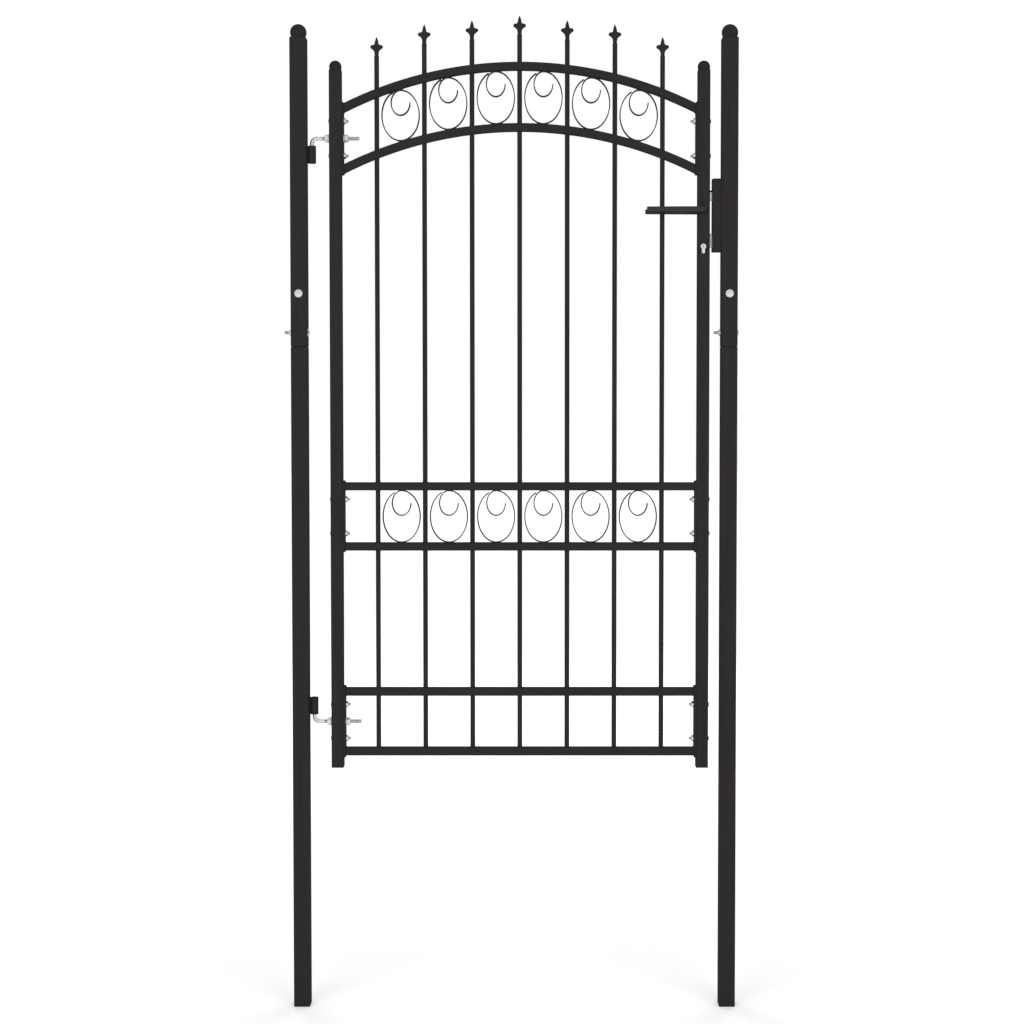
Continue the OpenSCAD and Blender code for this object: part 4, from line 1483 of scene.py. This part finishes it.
@dataclass
class SpearPoints:
    """The cast points on the pickets: a neck, two side leaves and a blade."""

    layout: Layout
    length: float = 48.5 * MM
    neck_r: float = 5.2 * MM
    neck_top: float = 7.5 * MM
    swell_r: float = 5.8 * MM
    swell_top: float = 11.5 * MM
    leaf_z: float = 24.2 * MM
    leaf_r: float = 5.2 * MM
    span: float = 31.4 * MM
    thick: float = 8 * MM
    blade_r: float = 5.2 * MM
    blade_z: float = 32.1 * MM
    tip_r: float = 0.5 * MM
    lobe_degrees: tuple[float, float] = (-35, 70)
    under_power: float = 1.9
    over_powers: tuple[float, float] = (1.8, 1.6)
    blade_power: float = 1.5
    leaf_fullness: float = 0.7
    blade_keenness: float = 1.2
    leaf_thinning: float = 0.45
    thinning_power: float = 1.5
    weld_sink: float = 0.2 * MM
    weld_r: float = 0.9 * MM

    def outline(self) -> Array:
        """Half the point's outline, from the foot to the tip.

        A round neck swells out under the leaves.  Their undersides run out as a power of the
        height to the round ends.  Their tops sweep in to the blade as a power of what is left,
        and the blade narrows to the tip as one minus a power of the height.

        Returns:
            Rows of half width and height.
        """
        steps = np.linspace(0, 1, 16)[1:]
        foot = np.array([[self.layout.picket_r - 0.2 * MM, 0],
                         [self.layout.picket_r - 0.3 * MM, 0.8 * MM],
                         [self.neck_r, 1.6 * MM],
                         [self.neck_r, 4 * MM],
                         [self.neck_r, self.neck_top]])
        lobe_at = (self.span / 2 - self.leaf_r, self.leaf_z)
        lobe = arc(lobe_at, self.leaf_r, *self.lobe_degrees, 17)
        ease = (1 - np.cos(math.pi * steps)) / 2
        swell = np.stack([self.neck_r + (self.swell_r - self.neck_r) * ease,
                          self.neck_top + (self.swell_top - self.neck_top) * steps], axis=-1)
        (low_x, low_z), (high_x, high_z) = lobe[0], lobe[-1]
        under = np.stack([self.swell_r + (low_x - self.swell_r) * steps**self.under_power,
                          self.swell_top + (low_z - self.swell_top) * steps], axis=-1)
        inward, upward = self.over_powers
        over = np.stack([self.blade_r + (high_x - self.blade_r) * (1 - steps) ** inward,
                         high_z + (self.blade_z - high_z) * steps**upward], axis=-1)
        narrow = 1 - steps**self.blade_power
        blade = np.stack([self.tip_r + (self.blade_r - self.tip_r) * narrow,
                          self.blade_z + (self.length - self.blade_z) * steps], axis=-1)
        return np.concatenate([foot, swell, under[:-1], lobe, over, blade])

    def point(self) -> Shell:
        """Builds one point on z = 0.

        Every row is a superellipse as wide as the outline.  Its half depth goes from the neck's
        radius to the leaves' thickness and narrows with the blade.  The leaves thin out towards
        their ends, and the blade's rows are nearer to a diamond.

        Returns:
            The skin.
        """
        wide, z = self.outline().T
        leaf = np.clip((z - self.swell_top) / (self.leaf_z - self.swell_top), 0, 1)
        closing = np.clip((z - self.leaf_z) / (self.blade_z - self.leaf_z), 0, 1)
        depth = np.minimum(wide, self.swell_r) * (1 - leaf) + self.thick / 2 * leaf
        depth = np.where(z > self.blade_z, wide * self.thick / 2 / self.blade_r, depth)
        power = 2 + self.leaf_fullness * leaf - self.blade_keenness * closing
        flat = superellipse(wide, depth, power, TURNED_COLUMNS)
        wing = (np.abs(flat[..., 0]) / (self.span / 2)) ** self.thinning_power
        thin = 1 - self.leaf_thinning * (leaf * (1 - closing))[:, None] * wing
        level = np.broadcast_to(z[:, None], thin.shape)
        return surface(np.stack([flat[..., 0], flat[..., 1] * thin, level], axis=-1))

    def build(self) -> None:
        """Places a point on every picket, with a bead round its foot."""
        layout = self.layout
        reach = layout.picket_r - self.weld_sink
        ring = reach * circle(RING_POINTS)
        ripple = FULL_TURN * reach / RING_RIPPLES
        points = []
        for x, z in zip(layout.picket_x, layout.picket_top):
            points.append(self.point().placed((x, 0, z)))
            path = np.column_stack([x + ring[:, 0], ring[:, 1], np.full(RING_POINTS, z)])
            points.append(bead(path, (0, 0, 1), self.weld_r, ripple, True))
        skin = Shell.join(points)
        make_piece("cast_spear_points", skin, Body.LEAF, FRAME_COAT, ("spear_points",))


@dataclass
class Scrolls:
    """Strips bent into an upright oval with a curl hung inside it."""

    layout: Layout
    strip_t: float = 2.5 * MM
    corner: float = 0.7 * MM
    curl_w: float = 49 * MM
    curl_h: float = 64 * MM
    start: float = 112.0
    top: float = 90.0
    curl_end: float = 360.0
    end_ease: float = 0.6
    flat: float = 0.4 * MM
    weld_r: float = 1.0 * MM
    weld_half: float = 7 * MM
    weld_gap: float = 0.2 * MM
    ripple: float = 3 * MM

    def path(self, half_w: float, half_h: float) -> Array:
        """The strip's middle line.

        First an ellipse from the start angle round to its top, then the curl's smaller ellipse,
        hung from the same top point, for three quarters of a turn.

        Args:
            half_w: half the oval's width, to the strip's middle.
            half_h: half its height.

        Returns:
            The points, in the plane of the leaf.
        """
        curl_w, curl_h = (self.curl_w - self.strip_t) / 2, (self.curl_h - self.strip_t) / 2
        outer = np.radians(np.linspace(self.start, 360 + self.top, 120)[:-1])
        curl = np.radians(np.linspace(self.top, self.curl_end, 80))
        x = np.concatenate([half_w * np.cos(outer), curl_w * np.cos(curl)])
        z = np.concatenate([half_h * np.sin(outer), half_h - curl_h + curl_h * np.sin(curl)])
        return np.stack([x, np.zeros_like(x), z], axis=-1)

    def strip(self, half_w: float, half_h: float, depth: float) -> Shell:
        """A strip with rounded edges carried along the line, its first and last row drawn in.

        Args:
            half_w: half the oval's width, to the strip's middle.
            half_h: half its height.
            depth: the strip's width, front to back.

        Returns:
            The skin.
        """
        outline, normals = rounded_outline(rectangle(self.strip_t, depth), self.corner, 4)
        path = self.path(half_w, half_h)
        inset = np.zeros(len(path))
        inset[0] = inset[-1] = self.end_ease * self.corner
        sections = outline[None] - inset[:, None, None] * normals[None]
        return sweep(sections, path, (0, 1, 0))

    def welds(self, x: float, low: float, high: float, slope: float,
              depth: float) -> list[Shell]:
        """Short beads at the front and back edge where a scroll meets its two rails.

        Args:
            x: the scroll's middle.
            low: the lower rail's upper face there.
            high: the upper rail's under face there.
            slope: the rails' slope there.
            depth: the strip's width.

        Returns:
            The beads.
        """
        run = np.linspace(-self.weld_half, self.weld_half, 16)
        edge = depth / 2 + self.weld_gap
        beads = []
        for z in (low, high):
            for y in (-edge, edge):
                line = np.stack([x + run, np.full_like(run, y), z + slope * run], axis=-1)
                beads.append(bead(line, (0, 1, 0), self.weld_r, self.ripple, False))
        return beads

    def build(self) -> None:
        """Builds the arch's scrolls between sloping rails and the middle's between level ones.

        Between sloping rails the oval's half height is the root of the half gap's square less
        the square of the slope times its half width.
        """
        layout = self.layout
        places = (layout.picket_x[:-1] + layout.picket_x[1:]) / 2
        box = Box.of("middle_scrolls")
        width = box.size[0] - (places[-1] - places[0])
        half_w, depth = (width - self.strip_t) / 2, box.size[1]
        half_tube = layout.rail_w / 2
        level = layout.spacing / 2 - half_tube
        middle, arch, beads = [], [], []
        for x in places:
            half_h = level + self.flat - self.strip_t / 2
            middle.append(self.strip(half_w, half_h, depth).placed((x, 0, layout.pair_z[1])))
            beads += self.welds(x, layout.pair_z[1] - level, layout.pair_z[1] + level, 0, depth)
            off = x - layout.middle_x
            high = float(layout.arch_height(-half_tube, x))
            low = float(layout.arch_height(half_tube, x)) - layout.spacing
            slope = off / math.sqrt(layout.arch_r**2 - off**2)
            reach = (high - low) / 2 + self.flat
            half_h = math.sqrt(reach**2 - (slope * width / 2) ** 2) - self.strip_t / 2
            arch.append(self.strip(half_w, half_h, depth).placed((x, 0, (high + low) / 2)))
            beads += self.welds(x, low, high, -slope, depth)
        for row, strips in (("middle", middle), ("arch", arch)):
            make_piece(row + "_strip_scrolls", Shell.join(strips), Body.LEAF, FRAME_COAT,
                       (row + "_scrolls",))
        make_piece("scroll_welds", Shell.join(beads), Body.LEAF, FRAME_COAT)


# ---- lock and handle ----


@dataclass
class Lock:
    """The lock's faceplate screws, its bolts and its key cylinder."""

    screw_r: float = 4.2 * MM
    screw_crown: float = 0.25 * MM
    screw_slot: tuple[float, float] = (0.55 * MM, 0.7 * MM)
    screw_inset: float = 10 * MM
    soft: float = 0.7 * MM
    bevel: float = 9.5 * MM
    nose: float = 3 * MM
    key_edge: float = 1.0 * MM
    key_head: float = 13.6 * MM
    key_leg: float = 7.8 * MM
    plug_r: float = 5.1 * MM
    plug_gap: float = 0.08 * MM
    plug_crown: float = 0.3 * MM
    plug_depth: float = 5 * MM
    keyway_half: tuple[float, float] = (0.75 * MM, 3.3 * MM)
    keyway_depth: float = 4 * MM
    slot_clear: float = 1.2 * MM

    def latch(self, node: str) -> Shell:
        """A slab over the latch bolt's plan, bevelled on its front.

        Args:
            node: the node whose box it fills.

        Returns:
            The skin.
        """
        box = Box.of(node)
        back, front = box.high[1], box.low[1]
        plan = np.array([[box.low[0], front],
                         [box.high[0] - self.bevel, front],
                         [box.high[0], back - self.nose],
                         [box.high[0], back],
                         [box.low[0], back]])
        edge = min(self.soft, box.size[2] / 4)
        return slab(plan, box.size[2], self.soft, edge).placed((0, 0, box.low[2]))

    def dead(self) -> Shell:
        """A slab that fills the dead bolt's box.

        Returns:
            The skin.
        """
        box = Box.of("dead_bolt")
        shell = slab(rectangle(box.size[0], box.size[1]), box.size[2], self.soft, self.soft)
        return shell.placed((box.middle[0], 0, box.low[2]))

    def screws(self) -> Shell:
        """Two countersunk screws in the faceplate, with a slot from edge to edge.

        Returns:
            The skin of both.
        """
        box = Box.of("lock_case")
        slot_half, slot_depth = self.screw_slot
        screw = slotted_disc(self.screw_r, self.screw_crown, (slot_half, 2 * self.screw_r),
                             slot_depth)
        heights = (box.low[2] + self.screw_inset, box.high[2] - self.screw_inset)
        return Shell.join([screw.placed((box.high[0], 0, z), Facing.RIGHT) for z in heights])

    def key_half(self, box: Box, length: float) -> Shell:
        """Half a key cylinder from y = 0 to its length, its face towards its own +Z.

        The outline is the round part and the leg below it, taken as the wider of the two at
        each angle from the round part's middle.  Its end edge steps in as a quarter circle, and
        its face runs in to a round bore, in which the plug stands with its keyway.

        Args:
            box: the key cylinder's box.
            length: how long the half is.

        Returns:
            The skin, standing on z = 0, the leg along its own -Y.
        """
        radius, leg_w = self.key_head / 2, self.key_leg
        reach = box.size[2] - radius - leg_w / 2
        t = angles(160) - math.pi / 2
        c, s = np.cos(t), np.sin(t)
        side = leg_w / 2 / np.maximum(np.abs(c), 1e-9)
        round_end = np.sqrt(np.maximum((leg_w / 2) ** 2 - reach**2 * c**2, 0)) - reach * s
        leg = np.where(side * -s < reach, side, round_end)
        outline = np.maximum(radius, np.where(s < 0, leg, 0))
        turn = np.linspace(0, math.pi / 2, 5)
        inset = np.concatenate([[0], self.key_edge * (1 - np.cos(turn))])
        level = np.concatenate([[0], length - self.key_edge * (1 - np.sin(turn))])
        bore = np.full((2, len(t)), self.plug_r + self.plug_gap)
        size = np.concatenate([outline[None] - inset[:, None], bore])
        level = np.concatenate([level, [length, length - self.plug_depth]])
        rise = np.broadcast_to(level[:, None], size.shape)
        grid = np.stack([size * c, size * s, rise], axis=-1)
        plug = slotted_disc(self.plug_r, self.plug_crown, self.keyway_half, self.keyway_depth)
        return Shell.join([surface(grid), plug.placed((0, 0, length))])

    def key_cylinder(self) -> Shell:
        """The two halves, apart by the dead bolt's slot, one the mirror image of the other.

        Returns:
            The skin of both.
        """
        box = Box.of("key_cylinder")
        gap = Box.of("dead_bolt").size[1] / 2 + self.slot_clear
        half = self.key_half(box, box.high[1] - gap)
        at = (box.middle[0], -gap, box.high[2] - self.key_head / 2)
        front = half.placed(at, Facing.FRONT)
        return Shell.join([front, front.flipped(1)])

    def build(self) -> None:
        """Builds the lock's visible pieces."""
        dress(STEEL, "lock_case", "lever_spindle")
        make_piece("faceplate_screws", self.screws(), Body.LEAF, ZINC)
        make_piece("lock_cylinder", self.key_cylinder(), Body.LEAF, NICKEL, ("key_cylinder",))
        tongue, glide = self.latch("latch_bolt"), self.latch("latch_glide")
        make_piece("latch_tongue", tongue, Body.LATCH, STEEL, ("latch_bolt",))
        make_piece("latch_slider", glide, Body.LATCH, CAP_PLASTIC, ("latch_glide",))
        make_piece("dead_tongue", self.dead(), Body.DEADLOCK, STEEL, ("dead_bolt",))


@dataclass
class Levers:
    """The two bent levers on one spindle."""

    elbow_r: float = 9 * MM
    neck_r: float = 7 * MM
    grip_t: float = 8 * MM
    grip_h: float = 13 * MM
    grip_power: float = 5.0
    ease: float = 8 * MM
    tip_h: float = 12 * MM
    tip_r: float = 3 * MM
    tip_share: float = 0.75

    def lever(self, box: Box, axis_x: float, axis_z: float) -> Shell:
        """The front lever.

        A profile is carried out of the stile along the neck, round the elbow and along the
        grip.  It is a circle on the neck and turns into a flat rounded bar over the elbow and a
        little beyond.  The bar's height narrows slowly to the tip, where it closes as an
        ellipse.

        Args:
            box: the box of the frame's front lever.
            axis_x: the handle axis's x.
            axis_z: its height.

        Returns:
            The skin.
        """
        half_t, bend = self.grip_t / 2, self.elbow_r
        grip_y, root_y = box.low[1] + half_t, box.high[1]
        neck = np.linspace(root_y, grip_y + bend, 8)[:-1]
        turn = np.radians(np.linspace(0, 90, 20))
        tip_x = box.low[0] + self.tip_r * (1 - np.sin(np.linspace(0, math.pi / 2, 8)[1:]))
        run = np.linspace(axis_x - bend, box.low[0] + self.tip_r, 40)[1:]
        run = np.concatenate([run, tip_x])
        bend_x = axis_x - bend + bend * np.cos(turn)
        bend_y = grip_y + bend - bend * np.sin(turn)
        x = np.concatenate([np.full(len(neck), axis_x), bend_x, run])
        y = np.concatenate([neck, bend_y, np.full(len(run), grip_y)])
        path = np.stack([x, y, np.full(len(x), axis_z)], axis=-1)
        gone = distances(path)
        beyond_neck = gone - (root_y - grip_y - bend)
        change = np.clip(beyond_neck / (bend * math.pi / 2 + self.ease), 0, 1)
        change = change**2 * (3 - 2 * change)
        straight = gone[len(neck) + len(turn) + 3]
        share = np.clip((gone - straight) / (gone[-1] - straight), 0, 1)
        height = self.grip_h + (self.tip_h - self.grip_h) * share
        half_u = self.neck_r + (half_t - self.neck_r) * change
        half_v = self.neck_r + (height / 2 - self.neck_r) * change
        left = np.clip((gone[-1] - gone) / self.tip_r, 0, 1)
        close = np.sqrt(np.maximum(1 - (1 - left) ** 2, 0.01))
        half_v = half_v * (self.tip_share + (1 - self.tip_share) * close)
        power = 2 + (self.grip_power - 2) * change
        sections = superellipse(half_u * close, half_v, power, 48)
        return sweep(sections, path, (0, 0, 1))

    def build(self) -> None:
        """Builds the front lever and its mirror image at the back."""
        spindle, front = Box.of("lever_spindle"), Box.of("front_lever")
        shell = self.lever(front, spindle.middle[0], spindle.middle[2])
        make_piece("front_handle", shell, Body.HANDLE, HANDLE_COAT, ("front_lever",))
        make_piece("rear_handle", shell.flipped(1), Body.HANDLE, HANDLE_COAT, ("rear_lever",))


# ---- studio ----


@dataclass
class Studio:
    """A white room: a pale floor, an even sky, soft lamps before and behind, and the camera."""

    floor_size: float = 60.0
    floor_drop: float = 0.2 * MM
    floor_colour: tuple[float, float, float] = (0.93, 0.93, 0.93)
    floor_roughness: float = 0.9
    floor_specular: float = 0.1
    floor_fill: tuple[float, float] = (0.30, 0.66)
    fill_reach: tuple[float, float] = (1.0, 7.0)
    sky: float = 0.42
    lamp_side: float = 3.0
    lamp_at: tuple[float, float, float] = (2.5, 4.4, 2.7)
    aim_height: float = 1.2
    front_watts: float = 82.0
    back_watts: float = 64.0
    camera_at: tuple[float, float, float] = (0.584, -4.2156, 1.532)
    camera_tilt: float = 87.975
    lens: float = 59.583
    sensor: float = 36.0
    shift: tuple[float, float] = (-0.022461, -0.055664)

    def seen(self, tree: bpy.types.NodeTree) -> bpy.types.NodeSocket:
        """1 for the rays that show a thing: from the eye, in a reflection or through glass.

        Args:
            tree: the tree that the nodes go into.

        Returns:
            The socket.
        """
        rays = tree.nodes.new("ShaderNodeLightPath")
        total = rays.outputs["Is Camera Ray"]
        for name in ("Is Glossy Ray", "Is Transmission Ray"):
            either = tree.nodes.new("ShaderNodeMath")
            either.operation = "MAXIMUM"
            tree.links.new(total, either.inputs[0])
            tree.links.new(rays.outputs[name], either.inputs[1])
            total = either.outputs[0]
        return total

    def floor(self) -> None:
        """A pale matt floor under the posts' feet, which looks white where no shadow falls.

        To the eye it has a fill added, small near the gate and growing outwards as the lamps'
        light falls off.
        """
        half = self.floor_size / 2
        mesh = bpy.data.meshes.new("floor")
        corners = [(-half, -half), (half, -half), (half, half), (-half, half)]
        mesh.from_pydata([(x, y, -self.floor_drop) for x, y in corners], [], [(0, 1, 2, 3)])
        nodes = Nodes("pale_floor")
        tree, link = nodes.tree, nodes.join
        inputs = nodes.shader.inputs
        inputs["Base Color"].default_value = (*self.floor_colour, 1)
        inputs["Roughness"].default_value = self.floor_roughness
        inputs["Specular IOR Level"].default_value = self.floor_specular
        away = nodes.add("ShaderNodeVectorMath", operation="LENGTH")
        link(nodes.place, away.inputs[0])
        grow = nodes.remap(away.outputs["Value"], (*self.fill_reach, *self.floor_fill),
                           interpolation_type="SMOOTHSTEP")
        share = nodes.add("ShaderNodeMath", operation="MULTIPLY")
        link(grow, share.inputs[0])
        link(self.seen(tree), share.inputs[1])
        fill = nodes.add("ShaderNodeEmission")
        link(share.outputs[0], fill.inputs["Strength"])
        both = nodes.add("ShaderNodeAddShader")
        link(nodes.shader.outputs[0], both.inputs[0])
        link(fill.outputs[0], both.inputs[1])
        link(both.outputs[0], tree.nodes["Material Output"].inputs["Surface"])
        mesh.materials.append(nodes.material)
        floor = bpy.data.objects.new("floor", mesh)
        bpy.context.scene.collection.objects.link(floor)

    def world(self) -> None:
        """A sky that is plain white to the eye and in reflections, and softer as a light."""
        world = bpy.data.worlds.new("white_room")
        bpy.context.scene.world = world
        world.use_nodes = True
        tree = world.node_tree
        sky = tree.nodes["Background"]
        sky.inputs["Color"].default_value = (1, 1, 1, 1)
        sky.inputs["Strength"].default_value = self.sky
        white = tree.nodes.new("ShaderNodeBackground")
        white.inputs["Color"].default_value = (1, 1, 1, 1)
        mix = tree.nodes.new("ShaderNodeMixShader")
        tree.links.new(self.seen(tree), mix.inputs["Fac"])
        tree.links.new(sky.outputs[0], mix.inputs[1])
        tree.links.new(white.outputs[0], mix.inputs[2])
        tree.links.new(mix.outputs[0], tree.nodes["World Output"].inputs["Surface"])

    def lamps(self) -> None:
        """Four large soft lamps, two before the gate and two behind, aimed at its middle.

        Reflections show the white room without them.
        """
        middle = (CAD_BOX[0][0] + CAD_BOX[1][0]) / 2
        aside, away, height = self.lamp_at
        for name, side, depth, watts in (
            ("front_left", -1, -1, self.front_watts), ("front_right", 1, -1, self.front_watts),
            ("back_left", -1, 1, self.back_watts), ("back_right", 1, 1, self.back_watts),
        ):
            data = bpy.data.lights.new(name + "_softbox", "AREA")
            data.shape = "SQUARE"
            data.size = self.lamp_side
            data.energy = watts
            lamp = bpy.data.objects.new(data.name, data)
            lamp.visible_glossy = False
            bpy.context.scene.collection.objects.link(lamp)
            place = np.array([middle + side * aside, depth * away, height])
            aim = np.array([middle, 0, self.aim_height]) - place
            lamp.location = place
            lamp.rotation_euler = (math.atan2(math.hypot(aim[0], aim[1]), -aim[2]), 0,
                                   math.atan2(-aim[0], aim[1]))

    def camera(self) -> None:
        """The camera before the gate."""
        data = bpy.data.cameras.new("camera")
        data.sensor_width = self.sensor
        data.lens = self.lens
        data.shift_x, data.shift_y = self.shift
        camera = bpy.data.objects.new("camera", data)
        camera.location = self.camera_at
        camera.rotation_euler = (math.radians(self.camera_tilt), 0, 0)
        bpy.context.scene.collection.objects.link(camera)
        bpy.context.scene.camera = camera

    def build(self) -> None:
        """Builds the room."""
        self.floor()
        self.world()
        self.lamps()
        self.camera()
        bpy.context.scene.view_settings.view_transform = "Standard"


def main() -> None:
    """Builds the gate's looks, piece by piece."""
    logging.basicConfig(level=logging.INFO, format="%(message)s")
    layout = Layout.read()
    Posts(layout).build()
    Hinges(layout).build()
    Keep().build()
    LeafFrame(layout).build()
    SpearPoints(layout).build()
    Scrolls(layout).build()
    Lock().build()
    Levers().build()
    Studio().build()


if __name__ == "__main__":
    main()
